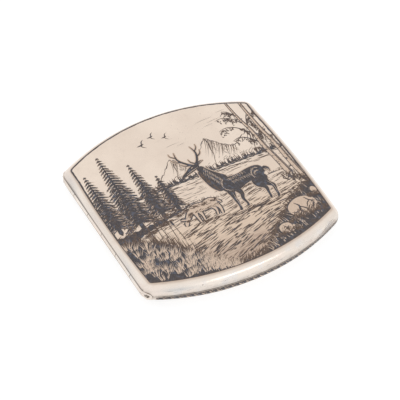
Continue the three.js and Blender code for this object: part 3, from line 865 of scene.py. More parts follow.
def drawSky():
    # three ducks in flight, each a body and two wings, then thin clouds and specks
    d = Drawing()
    for x, y, size in sky["ducks"]:
        d.lines(0, [
            [(x - 1.9 * size, y - 0.1, 0.05), (x, y, 0.36 * size), (x + 1.3 * size, y + 0.3, 0.1)],
            [(x + 0.3, y, 0.2), (x + 0.9 * size, y + 1.6 * size, 0.24 * size),
             (x + 2.1 * size, y + 2.5 * size, 0.03)],
            [(x - 0.1, y, 0.2), (x + 0.2, y - 1.1 * size, 0.2 * size),
             (x + 1.4 * size, y - 2.2 * size, 0.03)],
        ], 12)
    x, y, length = np.transpose(sky["clouds"])
    d.hatch(0, x, y, 4, length, 0.055, -9, 14)
    x = scatter(sky["specks"], 2, 24)
    d.hatch(0, x, vary(x, 25, 36), vary(x, 0, 360), 0.3, 0.06, 0, 3)
    return d


lake = {"trees": 150, "reflection": 46, "ripples": 84, "lights": 60}


def drawLake():
    # the far shore with its small trees, their reflection, and ripples
    d = Drawing()
    x = np.linspace(-24, 39.7, 160)
    top = 6.3 + 0.35 * np.sin(1.1 * x) + 0.22 * np.sin(3.7 * x + 2)
    d.fill(0, x, top, 4.9 + 0.12 * np.sin(2.1 * x))
    x = scatter(lake["trees"], -22, 39)
    d.grass(0, x, 5.9, (90, 4), (1.0, 3.3), (0.22, 0.5))
    x = scatter(lake["reflection"], -20, 38)
    d.hatch(0, x, 4.6 - vary(x, 0, 1.7), (0, 1), (1.5, 6), (0.1, 0.22), 3)
    x = scatter(lake["ripples"], -20, 37)
    d.hatch(0, x, 3.0 - 9.0 * vary(x, 0, 1) ** 1.2, (0, 1.5), (1.2, 5), (0.06, 0.14), 5)
    x = scatter(lake["lights"], -20, 36)
    d.hatch(1, x, 5.3 + vary(x, -0.3, 0.8), (2, 6), (0.5, 1.8), 0.07, 0)
    return d


meadow = {
    "shoreGrass": 170, "strokes": 1450, "bare": -0.9, "slope": 17, "shadow": 60, "sides": 74, "front": 300,
    "bankTop": [(-41, -11.5), (-34, -13), (-28, -17.5), (-22, -23.5), (-16, -30), (-11, -36.5), (-7, -40.5),
                (-3, -43.6)],
}


def shoreY(x):
    # the near shore, behind the deer
    return -6.4 - 1.4 * np.sin(0.09 * (x + 6)) - 0.5 * np.sin(0.4 * x)


def bankY(x):
    # the top of the dark bank in the lower left corner
    return np.interp(x, *np.transpose(meadow["bankTop"]))


def drawMeadow():
    # the near shore line and long slanting strokes over the light ground, in patches
    d = Drawing()
    x = np.linspace(-27, 39.6, 90)
    d.run(0, x, shoreY(x), 0.16 + 0.1 * np.sin(0.9 * x + 1))
    x = scatter(meadow["shoreGrass"], -27, 39)
    d.grass(0, x, shoreY(x) - 0.15, (74, 22), (0.6, 2.0), 0.13, -20)
    x = scatter(meadow["strokes"], -30, 39)
    y = vary(x, -43, -7.5)
    keep = (y < shoreY(x) - 0.8) & (y > bankY(x) + 0.5) & (y > 1.2 - panelEndY(x))
    patches = np.sin(0.31 * x + 0.9 * y) + np.sin(0.83 * y - 0.21 * x + 1.3) + jitter(x, 0.75)
    keep &= patches > meadow["bare"]
    x, y = x[keep], y[keep]
    angle = meadow["slope"] + 5 * np.sin(0.12 * y) + jitter(x, 2.5)
    length = vary(x, 1.6, 8.0) * vary(x, 0.5, 1)
    width = vary(x, 0.07, 0.17) * (1 + 0.6 * np.clip((-14 - y) / 10, 0, 1))
    d.hatch(0, x, y, angle, length, width, (0, 5), 7)
    # shadow of the stag on the grass
    x, y = around(15, 7.5, meadow["shadow"]), around(-19.4, 1.0, meadow["shadow"])
    d.hatch(0, x, y, (9, 4), (2, 5), (0.13, 0.26), 4)
    # dark grass along the border line at the sides and in front
    for side, low, angle in ((1, -32, 160), (-1, -14, 24)):
        y = scatter(meadow["sides"], low, -8)
        d.grass(0, side * (panelSideX(y) - 0.3), y, (angle, 12), (0.8, 3.4), (0.12, 0.22))
    x = scatter(meadow["front"], -8, 38)
    d.grass(0, x, 0.3 - panelEndY(x), (58, 14), (0.9, 5.6), (0.13, 0.25), -14)
    return d


bank = {"grass": 330, "tufts": 60, "blades": 17, "golden": 0.618034}


def drawBank():
    # a dark bank with grass along its top and tufts of light blades cut through it
    d = Drawing()
    x = np.linspace(-39.9, -4, 70)
    d.fill(2, x, bankY(x) + 0.5 * np.sin(1.3 * x) + 0.3 * np.sin(3.1 * x), -panelEndY(x))
    x = scatter(bank["grass"], -39.6, -4)
    d.grass(2, x, bankY(x) - vary(x, 0, 1.4), (60, 20), (1.2, 4.0), (0.16, 0.34), (-14, 12), 6)
    # tufts spread evenly, down the bank in order and across it by golden steps
    k = np.arange(bank["tufts"])
    tuftsX = -38.6 + 30.6 * (k * bank["golden"] % 1) + jitter(k, 1.3)
    for tuftX, down in zip(tuftsX, 0.08 + 0.86 * k / len(k) + jitter(k, 0.03)):
        tuftY = bankY(tuftX) - (bankY(tuftX) + panelEndY(tuftX)) * down
        spread = scatter(bank["blades"], -1, 1)
        d.grass(3, tuftX + spread * 1.5, tuftY + jitter(spread, 0.25), 74 - spread * 34, (1.6, 4.4),
                (0.06, 0.14), -spread * 26, 7)
    return d


reeds = {
    "blades": 60, "head": 3, "headWidth": 0.42, "halo": 0.62,
    # bulrushes: x and y of the foot, height, lean
    "bulrushes": [(-27.2, -15, 12.2, 2), (-24.6, -17, 12.6, -3), (-22.4, -18.5, 13.5, 3),
                  (-19.8, -20, 12.0, -2), (-17.4, -21.4, 11.6, 4)],
}


def drawReeds():
    # reeds and bulrushes at the water's edge
    d = Drawing()
    x = scatter(reeds["blades"], -29, -14.5)
    y = np.minimum(bankY(x) + 0.5, shoreY(x) - 1) - vary(x, 0, 1)
    d.grass(2, x, y, (88, 7), (4, 9.5), (0.13, 0.24), (0, 14), 9)
    for x, y, tall, lean in reeds["bulrushes"]:
        neck = oval(x, y, tall - reeds["head"], tall - reeds["head"], 90 + lean)
        tip = oval(x, y, tall, tall, 90 + lean)
        d.line(1, [(*neck, reeds["halo"]), (*tip, reeds["halo"])], 12)
        d.line(2, [(x, y, 0.16), (*neck, 0.13), (*tip, 0.12), (tip[0], tip[1] + 1.2, 0.04)], 14)
        d.line(2, [(neck[0], neck[1] + 0.3, reeds["headWidth"]), (*tip, reeds["headWidth"])], 14)
    return d


firs = {
    # x, foot, top, spread, lean
    "trees": [(-12.2, -5.5, 13.8, 3.9, 0), (-36.6, -6.0, 27.0, 7.5, 0.4), (-18.6, -6.5, 24.2, 5.8, -0.3),
              (-28.2, -8.0, 33.6, 8.0, 0.5)],
    "tier": 1.55, "grass": 120, "groundMarks": 90,
    "ground": [(-40, -12.2), (-34, -12.8), (-30, -11.4), (-24, -10.0), (-16, -8.4), (-8, -6.9)],
}


def drawFir(d, x, foot, top, spread, lean):
    # tiers of drooping boughs that widen downward, each with hanging needles and a few bright cuts
    tall = top - foot
    stem = [(x - 0.1, foot - 1.5, 0.95), (x + lean * 0.5, foot + 0.5 * tall, 0.55), (x + lean, top, 0.05)]
    d.line(2, stem, 24)
    tiers = int(tall / firs["tier"])
    for tier in range(tiers):
        share = (tier + 1) / tiers
        y = top - 0.8 - tall * 0.93 * tier / tiers
        fat = 0.3 + 0.52 * share
        size = 0.55 + 0.5 * share
        stemX = x + lean * (y - foot) / tall
        for side in (-1, 1):
            reach = spread * share**0.82 * rng.uniform(0.78, 1.1)
            fall = reach * rng.uniform(0.42, 0.6)
            way = side * reach
            bough = [
                (stemX, y + 0.3, fat * 0.8), (stemX + way * 0.45, y - fall * 0.42, fat),
                (stemX + way * 0.82, y - fall * 0.88, fat * 0.62), (stemX + way, y - fall * 0.9, 0.04),
            ]
            d.line(2, bough, 12)
            along = scatter(int(3 + reach * 1.5), 0.12, 0.97)
            d.grass(2, stemX + way * along, y - fall * (0.15 + 0.85 * along) + 0.2, (side * 20 - 90, 16),
                    (0.7 * size, 1.7 * size), (0.13, 0.24), side * 12)
            if tier > 1:
                along = scatter(int(1 + reach * 0.75), 0.15, 0.85)
                low = y - fall * (0.1 + 0.85 * along) + vary(along, -0.5, 0.45)
                d.hatch(3, stemX + way * along, low, (90 - side * 126, 14), (0.5, 1.7), (0.05, 0.09), 0, 5)


def drawFirs():
    # four firs on dark ground
    d = Drawing()
    for tree in firs["trees"]:
        drawFir(d, *tree)
    x = scatter(firs["grass"], -40, -10)
    y = np.where(x < -24, -9.5, -7.2) + vary(x, -1.2, 0.4)
    d.grass(2, x, y, (80, 22), (0.8, 2.6), (0.16, 0.3))
    x = np.linspace(-40, -8, 60)
    top = np.interp(x, [-40, -24, -8], [-8.2, -8.0, -6.3]) + 0.3 * np.sin(1.9 * x)
    low = np.transpose(firs["ground"])
    d.fill(2, x, top, np.interp(x, *low) + 0.2 * np.sin(2.7 * x))
    x = scatter(firs["groundMarks"], -37, -8)
    d.hatch(2, x, np.interp(x, *low) - vary(x, -0.3, 1.3), (-6, 5), (1.2, 4.2), (0.1, 0.2), 6)
    return d


stag = {
    "body": [(6.4, -3.8, 1.6), (8.8, -4.1, 3.7), (12.2, -4.3, 4.0), (16.5, -3.6, 3.15), (20.6, -2.9, 3.3),
             (23.8, -3.1, 3.5), (26.2, -4.1, 2.3)],
    "neck": [(10.6, -2.6, 3.3), (8.2, 0.8, 2.75), (6.2, 4.4, 2.1), (4.9, 7.6, 1.6), (4.5, 9.8, 1.35)],
    "chest": [(8.0, -5.4, 2.2), (5.6, -2.6, 1.8), (4.5, 1.0, 1.5), (3.8, 4.6, 1.15), (3.6, 7.4, 0.9)],
    "head": [(5.2, 10.3, 1.0), (3.4, 10.2, 1.35), (1.4, 9.5, 1.3), (-0.7, 8.5, 0.92), (-2.6, 7.6, 0.7),
             (-3.4, 7.2, 0.52)],
    "ear": [(4.6, 10.8, 0.5), (6.4, 11.8, 0.56), (8.0, 12.0, 0.05)],
    "beamRight": [(4.2, 11.0, 0.55), (6.0, 13.4, 0.45), (7.2, 17.0, 0.36), (6.5, 21.2, 0.07)],
    "browRight": [(4.3, 11.7, 0.34), (3.0, 13.2, 0.25), (2.7, 15.2, 0.05)],
    "bezRight": [(6.4, 14.6, 0.34), (8.6, 16.0, 0.24), (9.3, 18.0, 0.05)],
    "forkRight": [(7.1, 17.6, 0.3), (8.7, 19.4, 0.2), (9.1, 21.4, 0.05)],
    "beamLeft": [(3.2, 10.9, 0.55), (1.0, 13.2, 0.45), (-1.0, 16.6, 0.36), (-0.5, 21.0, 0.07)],
    "browLeft": [(2.4, 11.5, 0.34), (0.2, 12.3, 0.24), (-1.4, 13.8, 0.05)],
    "bezLeft": [(-0.1, 14.7, 0.34), (-2.4, 15.8, 0.22), (-3.5, 17.8, 0.05)],
    "forkLeft": [(-1.0, 17.6, 0.28), (-2.6, 19.4, 0.18), (-2.8, 21.2, 0.05)],
    "tail": [(26.3, -1.6, 0.8), (27.7, -3.0, 0.75), (28.0, -5.2, 0.1)],
    "foreNear": [(9.2, -6.4, 2.0), (9.0, -9.4, 1.15), (8.7, -12.0, 0.7), (8.8, -12.9, 0.74),
                 (8.6, -15.6, 0.46), (8.4, -17.2, 0.52), (7.9, -18.2, 0.76)],
    "foreFar": [(11.8, -7.2, 1.5), (12.4, -10.4, 0.9), (11.6, -13.0, 0.6), (11.9, -15.8, 0.42),
                (11.5, -17.3, 0.56)],
    "hindNear": [(23.7, -4.4, 3.1), (23.1, -7.8, 2.2), (24.0, -10.2, 1.3), (25.4, -12.0, 0.86),
                 (25.0, -14.8, 0.54), (24.7, -17.3, 0.52), (24.0, -18.2, 0.78)],
    "hindFar": [(21.2, -5.4, 2.4), (20.4, -8.8, 1.5), (22.2, -11.7, 0.85), (21.9, -14.6, 0.48),
                (21.6, -16.9, 0.48), (21.1, -17.6, 0.62)],
}
# single marks on the stag: layer, points along the curve, the curve
stagMarks = [
    (3, 14, [(9.4, -8.4, 0.02), (9.1, -11.8, 0.08), (8.8, -16.4, 0.02)]),  # fore leg
    (3, 14, [(24.0, -8.6, 0.02), (25.3, -12.0, 0.09), (24.9, -16.4, 0.02)]),  # hind leg
    (3, 14, [(4.4, 9.6, 0.02), (1.6, 8.9, 0.1), (-1.8, 7.8, 0.02)]),  # cheek
    (3, 8, [(5.2, 11.2, 0.02), (7.0, 11.9, 0.11), (7.6, 11.9, 0.02)]),  # ear
    (3, 8, [(2.6, 10.4, 0.05), (2.0, 10.3, 0.24), (1.6, 10.0, 0.05)]),  # eye
    (4, 6, [(2.2, 10.3, 0.12), (1.9, 10.2, 0.12)]),
    (3, 8, [(27.0, -2.4, 0.03), (27.8, -4.0, 0.16), (27.9, -5.0, 0.03)]),  # tail
]


def drawStag():
    # a dark stag in a thin bright outline
    d = Drawing()
    d.lines(1, stag.values(), 30, 0.34)
    d.lines(2, stag.values(), 30)
    # shaggy mane and belly
    t = scatter(60, 0, 1)
    d.grass(2, 3.4 + 2.6 * t, 7.4 - 12.2 * t, (-118, 14), (1.0, 2.2), (0.14, 0.26), 10)
    x = scatter(30, 9, 20)
    d.grass(2, x, -8.0 + 0.14 * np.clip(x - 12, 0, 9), (-62, 12), (0.5, 1.3), 0.17)

    def hair(x, y, angle, length, fat=0.055, bend=0):
        # modelling cut through the niello, as short strokes along the form
        d.hatch(3, x + jitter(x, 0.12), y + jitter(x, 0.12), angle + jitter(x, 5),
                (0.6 * length, 1.15 * length), (0.6 * fat, 1.3 * fat), bend)

    t = np.linspace(0, 1, 34)
    hair(5.9 + 3.6 * t, 8.2 - 8.6 * t, -126 + 14 * t, 1.7)
    hair(5.0 + 3.4 * t, 6.4 - 8.8 * t, -118 + 8 * t, 1.5, 0.045)
    hair(11.0 + 9.6 * t[:26], -1.0 + 0.8 * t[:26], -74, 1.6, 0.055, -14)
    hair(11.8 + 9.2 * t[:30], -2.9 + 0.5 * t[:30], -70, 1.9, 0.045, -14)
    turn = np.linspace(100, 250, 20)
    hair(*oval(10.2, -4.2, 2.5, 3.0, turn), turn + 90, 1.3, 0.06, 20)
    turn = np.linspace(60, 200, 22)
    hair(*oval(23.4, -3.8, 2.4, 2.8, turn), turn + 78, 1.5, 0.065, 18)
    turn = turn[:16]
    hair(*oval(23.6, -4.2, 1.4, 1.7, turn), turn + 78, 1.2, 0.05, 18)
    for layer, count, points in stagMarks:
        d.line(layer, points, count)
    return d


hind = {
    "body": [(-9.6, -9.4, 1.2), (-7.0, -9.2, 2.25), (-3.2, -9.4, 2.15), (0.0, -9.0, 2.3), (1.6, -9.7, 1.4)],
    "neck": [(-8.6, -9.4, 1.5), (-10.9, -11.2, 1.05), (-12.6, -13.4, 0.75)],
    "head": [(-12.6, -13.2, 0.85), (-13.5, -14.6, 0.66), (-14.0, -15.8, 0.36)],
    "ear": [(-12.7, -12.6, 0.3), (-14.0, -12.0, 0.36), (-15.0, -11.9, 0.05)],
    "foreNear": [(-8.0, -10.4, 0.95), (-8.2, -13.2, 0.46), (-8.1, -16.4, 0.36)],
    "foreFar": [(-6.4, -10.4, 0.85), (-6.1, -13.4, 0.42), (-6.4, -16.0, 0.34)],
    "hindNear": [(0.6, -10.2, 1.25), (1.6, -12.8, 0.58), (1.1, -16.4, 0.36)],
    "hindFar": [(-0.9, -10.4, 1.0), (-0.2, -13.2, 0.46), (-0.8, -16.0, 0.34)],
    "tail": [(2.3, -8.8, 0.4), (3.1, -10.2, 0.34), (3.1, -11.2, 0.05)],
}
hindPatches = [(-7.2, -7.9, 0.9), (-3.4, -8.1, 1.0), (0.6, -8.2, 0.9), (-10.4, -10.6, 0.6),
               (-12.8, -13.4, 0.35)]


def drawHind():
    # a light beast: dark contour, bright body, shaded patches, spots, belly, neck, eye and shadow
    d = Drawing()
    d.lines(2, hind.values(), 24, 0.46)
    d.lines(3, hind.values(), 24, -0.04)
    for x, y, size in hindPatches:
        x, y = around(x, size * 0.8, 26), around(y, size * 0.45, 26)
        d.hatch(4, x, y, (-14, 10), (0.5, 1.5), (0.1, 0.2), 10)
    x = scatter(22, -8.4, 0.8)
    d.hatch(4, x, -8.3 + vary(x, -0.9, 0.8), vary(x, -30, 30), 0.5, 0.15, 0, 4)
    x = scatter(30, -8.8, 1.2)
    d.hatch(4, x, -11.4 + vary(x, -0.2, 0.9), (14, 10), (0.6, 1.8), 0.12, 10)
    x, y = around(-10.2, 0.7, 12), around(-11.6, 0.5, 12)
    d.hatch(4, x, y, (232, 8), (0.6, 1.6), 0.1)
    d.line(4, [(-12.9, -13.6, 0.12), (-13.2, -13.8, 0.12)], 6)
    x = scatter(40, -12, 3)
    d.hatch(2, x, around(-16.9, 0.4, 40), (8, 5), (1.0, 3.2), 0.14)
    return d


birches = {
    "stems": [
        [(34.6, -9.5, 1.35), (33.9, -1, 1.05), (33.0, 9, 0.85), (32.8, 18, 0.62), (31.6, 27, 0.42),
         (31.0, 40, 0.25)],
        [(38.6, -13, 1.15), (37.9, -3, 0.95), (37.6, 8, 0.8), (36.6, 19, 0.6), (36.2, 38, 0.35)],
    ],
    "boughs": [
        [(33.1, 10, 0.34), (29.6, 14.6, 0.24), (26.6, 16.4, 0.18), (23.2, 15.6, 0.06)],
        [(32.8, 16, 0.3), (28.4, 21.6, 0.22), (24.6, 23.4, 0.16), (21.0, 22.8, 0.05)],
        [(32.2, 22, 0.26), (29.0, 27.0, 0.18), (25.4, 29.0, 0.14), (22.2, 28.6, 0.05)],
        [(31.6, 26, 0.22), (29.6, 30.8, 0.16), (27.0, 32.6, 0.05)],
        [(33.2, 5, 0.26), (30.8, 8.2, 0.18), (28.4, 8.8, 0.05)],
        [(36.8, 15, 0.28), (35.2, 19.0, 0.2), (34.6, 23.6, 0.06)],
        [(36.5, 24, 0.22), (38.4, 27.4, 0.16), (38.8, 30.6, 0.05)],
        [(32.9, 12, 0.3), (35.2, 15.8, 0.2), (38.6, 18.0, 0.08)],
        [(32.4, 20, 0.26), (34.4, 25.0, 0.18), (36.6, 28.6, 0.05)],
    ],
    "twigs": 15, "leaves": 4, "barkMarks": 46, "grass": 90,
}


def drawBirches():
    # light stems with dark contours and bark marks, thin branches with hanging twigs and leaves
    d = Drawing()
    for bough in birches["boughs"]:
        d.line(2, bough, 18)
        x, y, _ = spline(bough, 40)[rng.integers(10, 39, birches["twigs"])].T
        length, angle = vary(x, 1.0, 3.4), around(-84, 20, len(x))
        d.hatch(2, x, y, angle, length, 0.075, (0, 20), 8)
        for _ in range(birches["leaves"]):
            reach = length * vary(x, 0.2, 1.05)
            leafX, leafY = oval(x, y, reach, reach, angle)
            d.hatch(2, leafX + jitter(x, 0.12), leafY, (-70, 40), (0.55, 1.0), (0.17, 0.26), 0, 4)
    for stem in birches["stems"]:
        d.line(2, stem, 50, 0.22, False)
        d.line(3, stem, 50, -0.04, False)
        x, y, fat = spline(stem, 200)[rng.integers(2, 190, birches["barkMarks"])].T
        side = rng.choice([-1, 1], len(x))
        angle = np.where(side > 0, 182, -2) + jitter(x, 8)
        d.grass(4, x + side * fat * 0.95, y, angle, fat * vary(x, 0.5, 1.5), (0.1, 0.3))
        x, y, fat = spline(stem, 60).T
        d.run(4, x + fat * 0.62, y, fat * 0.22)
    x = around(36, 2.6, birches["grass"])
    y = -11.5 + jitter(x, 1.3) - (x - 34) * 0.5
    d.grass(4, x, y, (84, 22), (1.0, 3.2), (0.16, 0.28))
    return d


thicket = {
    "top": [(3, -43.6), (8, -40.0), (13, -35.0), (18, -30.0), (23, -26.4), (27, -22.6), (31, -20.2),
            (35, -17.4), (40, -15.8)],
    "grass": 360, "blades": 150,
}


def thicketY(x):
    # the top of the dark thicket in the lower right corner
    return np.interp(x, *np.transpose(thicket["top"]))


def drawThicket():
    # dark undergrowth with a ragged top and light blades cut through it
    d = Drawing()
    x = np.linspace(4, 39.9, 80)
    d.fill(2, x, thicketY(x) + 0.5 * np.sin(1.7 * x) + 0.35 * np.sin(4.3 * x), -panelEndY(x))
    x = scatter(thicket["grass"], 5, 39.6)
    d.grass(2, x, thicketY(x) - vary(x, 0, 1.4), (112, 20), (1.2, 3.8), (0.16, 0.34), (14, 12), 6)
    x = scatter(thicket["blades"], 8, 39)
    y = thicketY(x) - (thicketY(x) + panelEndY(x)) * vary(x, 0.1, 0.9)
    d.grass(3, x, y, (116, 16), (1.0, 3.6), (0.08, 0.17), 16, 6)
    return d


boulders = {
    "stones": [
        [(23.8, -29.0, 2.2), (27.0, -27.4, 4.2), (31.2, -26.6, 4.7), (35.4, -28.4, 3.2)],
        [(15.6, -34.6, 1.5), (18.4, -33.8, 2.6), (21.8, -34.6, 1.9)],
        [(36.6, -20.8, 1.6), (39.0, -20.6, 2.4)],
    ],
    "cracks": [
        [(27.0, -23.8, 0.1), (28.4, -26.0, 0.34), (27.8, -28.2, 0.3), (29.2, -30.6, 0.1)],
        [(28.2, -26.2, 0.2), (30.4, -28.4, 0.3), (30.8, -31.0, 0.1)],
        [(32.0, -22.6, 0.12), (33.4, -25.0, 0.3), (35.6, -26.2, 0.1)],
        [(24.0, -28.0, 0.05), (25.6, -28.6, 0.22), (27.4, -28.3, 0.05)],
        [(17.6, -32.0, 0.05), (18.6, -33.6, 0.24), (20.4, -34.2, 0.05)],
    ],
    # grass at the foot of the stones: from x to x, y, slope, strokes
    "grass": [(21, 39, -32.6, 0.1, 110), (13, 24, -37.0, 0.0, 50), (34, 39.5, -23.8, 0.0, 36)],
    "hairlines": 420, "shade": 150,
}


def drawBoulders():
    # light stones with a dark contour, cracks and hatching on the lower right
    d = Drawing()
    for stone in boulders["stones"]:
        d.line(4, stone, 40, 0.42)
        d.line(5, stone, 40, -0.1)
        for x, y, size in stone:
            turn = scatter(int(size * 8), 205, 335)
            x, y = oval(x, y, 0.9 * size, 0.9 * size, turn)
            angle = 250 - turn * 0.6 + jitter(turn, 8)
            d.grass(6, x, y, angle, (0.15 * size, 0.6 * size), (0.08, 0.15), 14)
    # brown hairlines that round the stones off, spread evenly by two irrational steps
    k = np.arange(boulders["hairlines"])
    x, y = 13 + k * 0.7549 % 1 * 27, -37 + k * 0.5698 % 1 * 19
    away = np.min([np.hypot(x - a, y - b) / size for stone in boulders["stones"] for a, b, size in stone], 0)
    low = (away < 0.9) & ((x - 29) * 0.12 - (y + 27.5) * 0.45 + 1.3 * np.sin(9.1 * k) > 0.2)
    x, y, k = x[low], y[low], k[low]
    d.hatch(6, x, y, 262 + 1.6 * (x - 29), 1.6 + np.sin(5.3 * k), 0.065, 24)
    x = scatter(boulders["shade"], 23, 38)
    y = vary(x, -32, -24.5)
    low = (x - 29) * 0.25 - (y + 28) + jitter(x, 1.5) > 1.0
    d.hatch(6, x[low], y[low], (48, 6), (1, 3.4), (0.12, 0.26), 14)
    d.lines(6, boulders["cracks"], 14)
    x = scatter(26, 16, 23)
    d.hatch(6, x, around(-35, 0.6, 26), (44, 8), (0.8, 2.0), 0.17, 10)
    for start, end, foot, slope, count in boulders["grass"]:
        x = scatter(count, start, end)
        y = foot + slope * (x - start) + jitter(x, 0.35)
        d.grass(6, x, y, (100, 20), (1.0, 2.8), (0.15, 0.28))
    return d


# each drawing, and the inlaid node that it finishes where there is one
picture = {
    "nielloMountains": (drawMountains, ["lid_niello_ridge"]), "nielloSky": (drawSky, []),
    "nielloLake": (drawLake, ["lid_niello_far_shore"]), "nielloMeadow": (drawMeadow, []),
    "nielloFirs": (drawFirs, ["lid_niello_firs"]), "nielloReeds": (drawReeds, []),
    "nielloBank": (drawBank, ["lid_niello_bank"]), "nielloBirches": (drawBirches, []),
    "nielloThicket": (drawThicket, ["lid_niello_thicket"]), "nielloBoulders": (drawBoulders, []),
    "nielloHind": (drawHind, []), "nielloStag": (drawStag, ["lid_niello_stag"]),
}
for name, (draw, nodes) in picture.items():
    addInlay(name, draw().skin(onFace(lidFace)), "lid", nodes)
print("picture engraved")

# The underside: a traditional diaper of crossed lines with a small four-petalled flower in each cell
diaper = {
    "pitch": 6.4, "slope": 41, "line": 0.17, "rows": 9, "edge": 0.4,
    "petal": 1.35, "petalFat": 0.36, "petalStart": 0.28, "sepal": 0.75, "sepalFat": 0.09,
    "reach": 64, "steps": 400, "flowerSide": 37.2, "flowerEnd": 2.2,
}


def drawDiaper():
    # lines in two directions, each cut off at the border line, then petals and sepals in each cell
    d = Drawing()
    turn = math.radians(diaper["slope"])
    steps = np.linspace(-diaper["reach"], diaper["reach"], diaper["steps"])[:, None]
    shifts = np.arange(-diaper["rows"], diaper["rows"] + 1) * diaper["pitch"]
    for side in (-1, 1):
        way = np.array([math.cos(turn), side * math.sin(turn)])
        across = np.array([-way[1], way[0]])
        for shift in shifts:
            run = across * shift + way * steps
            inside = np.abs(run[:, 0]) < panelSideX(np.clip(run[:, 1], -35, 35)) - diaper["edge"]
            inside &= np.abs(run[:, 1]) < panelEndY(np.clip(run[:, 0], -39, 39)) - diaper["edge"]
            if inside.sum() > 4:
                x, y = spline(run[inside][[0, -1]], 30).T
                d.run(0, x, y, np.full(30, diaper["line"]))
    u, v = (m.ravel() for m in np.meshgrid(shifts + diaper["pitch"] / 2, shifts + diaper["pitch"] / 2))
    x = (u + v) / (2 * math.sin(turn))
    y = (v - u) / (2 * math.cos(turn))
    inside = np.abs(x) < diaper["flowerSide"]
    inside &= np.abs(y) < panelEndY(np.clip(x, -39, 39)) - diaper["flowerEnd"]
    x, y = x[inside], y[inside]
    start = diaper["petalStart"]
    for angle in (0, 90, 180, 270):
        d.hatch(0, *oval(x, y, start, start, angle), angle, diaper["petal"], diaper["petalFat"], 0, 6)
        d.grass(0, x, y, angle + 45, diaper["petal"] * diaper["sepal"], diaper["sepalFat"], 0, 4)
    return d


addInlay("nielloDiaper", drawDiaper().skin(onFace(baseFace)), "base", [])

# The niello band on the rim of the base, with bright slanting leaves, open at the hinge
band = {
    "top": 0.35, "height": 2.5, "start": axisX + coveRadius + 1.0, "pitch": 2.9, "steps": 420,
    "rows": np.array([0, 0, 0.1, 0.3, 0.5, 0.7, 0.9, 1, 1]), "edge": [1, 1, 0.8, 0, 0, 0, 0.8, 1, 1],
}
half = len(outline(caseShape)) // 2
caseLine = np.roll(outline(caseShape), -half, 0)
panelLine = np.roll(outline(panelShape), -half, 0)
caseFar = lengthAlong(caseLine)
bandRange = caseFar[caseLine[:, 0] > band["start"]][[0, -1]]


def onRim(face):
    # flat points of length along the outline and height from the seam, lifted outward from the roll of a half
    def at(far, height):
        outer, panel = (np.stack([np.interp(far, caseFar, column) for column in line.T], -1)
                        for line in (caseLine, panelLine))
        flat = outer
        for _ in range(5):
            turn = np.arcsin(np.clip(height / face(flat[..., 0]), 0, 1))
            flat = outer + (panel - outer) * (1 - np.cos(turn))[..., None]
        return rimPoint(face, 0, outer, panel, turn)

    def place(flat, rise):
        far, height = flat[..., 0], np.clip(flat[..., 1], 0.02, 3.3)
        point = at(far, height)
        away = np.cross(at(far + 0.05, height) - point, at(far, height + 0.02) - point)
        away /= np.linalg.norm(away, axis=-1, keepdims=True)
        return point + away * np.broadcast_to(rise, far.shape)[..., None]
    return place


def bandSkin():
    # a strip along the outline whose two edges dip into the silver
    far = np.linspace(*bandRange, band["steps"])
    height = band["top"] + band["height"] * band["rows"]
    rise = np.full(len(height), stroke["lift"])
    rise[[0, -1]] = -border["depth"]
    grid = onRim(baseFace)(np.stack(np.meshgrid(far, height), -1), rise[:, None])
    edge = np.repeat(band["edge"], len(far))
    return grid.reshape(-1, 3), quads(len(height), len(far), closed=False), {"edge": edge, "cut": edge * 0}


def drawLeaves():
    # a long leaf, a short one beside it and a dash above, at each step along the band
    d = Drawing()
    far = np.arange(bandRange[0] + 1.2, bandRange[1] - 1.6, band["pitch"])
    low = band["top"] + band["height"]
    d.hatch(1, far, low - 0.2, -132, 2.5, (0.18, 0.3), 26, 7)
    d.hatch(1, far + 0.5, low - 0.3, -112, 1.3, 0.11, 20, 5)
    d.hatch(1, far - 0.9, band["top"] + 0.5, 0, 0.7, 0.13, 0, 4)
    return d


# marks on the front roll of the lid, worn ones and painted reflection lines: length along the outline, height
# over the seam, half-width
rimWearAndReflections = {
    "pits": [[(55.7, 2.5, 0.05), (55.9, 2.7, 0.11), (56.15, 2.85, 0.05)],
             [(96.3, 1.2, 0.04), (96.5, 1.3, 0.09), (96.7, 1.3, 0.04)]],
    # dark lines side by side that stand for painted reflections: start, height there, end, height there,
    # half-width
    "lines": [(104.4, 0.92, 118.2, 0.12, 0.09), (107, 1.36, 118.2, 0.56, 0.08),
              (109, 1.8, 118, 1.02, 0.075), (111, 2.2, 117.6, 1.5, 0.065), (113, 2.5, 117, 2.0, 0.04)],
    "scratches": 46, "specks": 16,
}


def drawWearAndReflections():
    # two small pits, some dark lines side by side as painted reflections, fine scratches and specks
    d = Drawing()
    d.lines(0, rimWearAndReflections["pits"], 8)
    for start, height, end, low, width in rimWearAndReflections["lines"]:
        middle = ((start + end) / 2, (height + low) / 2 + 0.05, width)
        d.line(0, [(start, height, 0.02), middle, (end, low, 0.02)], 20)
    far = scatter(rimWearAndReflections["scratches"], 36, 122)
    d.hatch(0, far, vary(far, 0.6, 3.0), (0, 14), (0.5, 3.5), (0.008, 0.018), 6)
    far = scatter(rimWearAndReflections["specks"], 36, 122)
    d.hatch(0, far, vary(far, 0.5, 2.8), vary(far, 0, 360), 0.16, 0.04, 0, 4)
    return d


addInlay("lidRimWearAndReflections", drawWearAndReflections().skin(onRim(lidFace)), "lid", [])
addInlay("baseRimBand", bandSkin(), "base", ["base_niello_band"])
addInlay("baseRimLeaves", drawLeaves().skin(onRim(baseFace)), "base", [])
print("underside and rim band made")

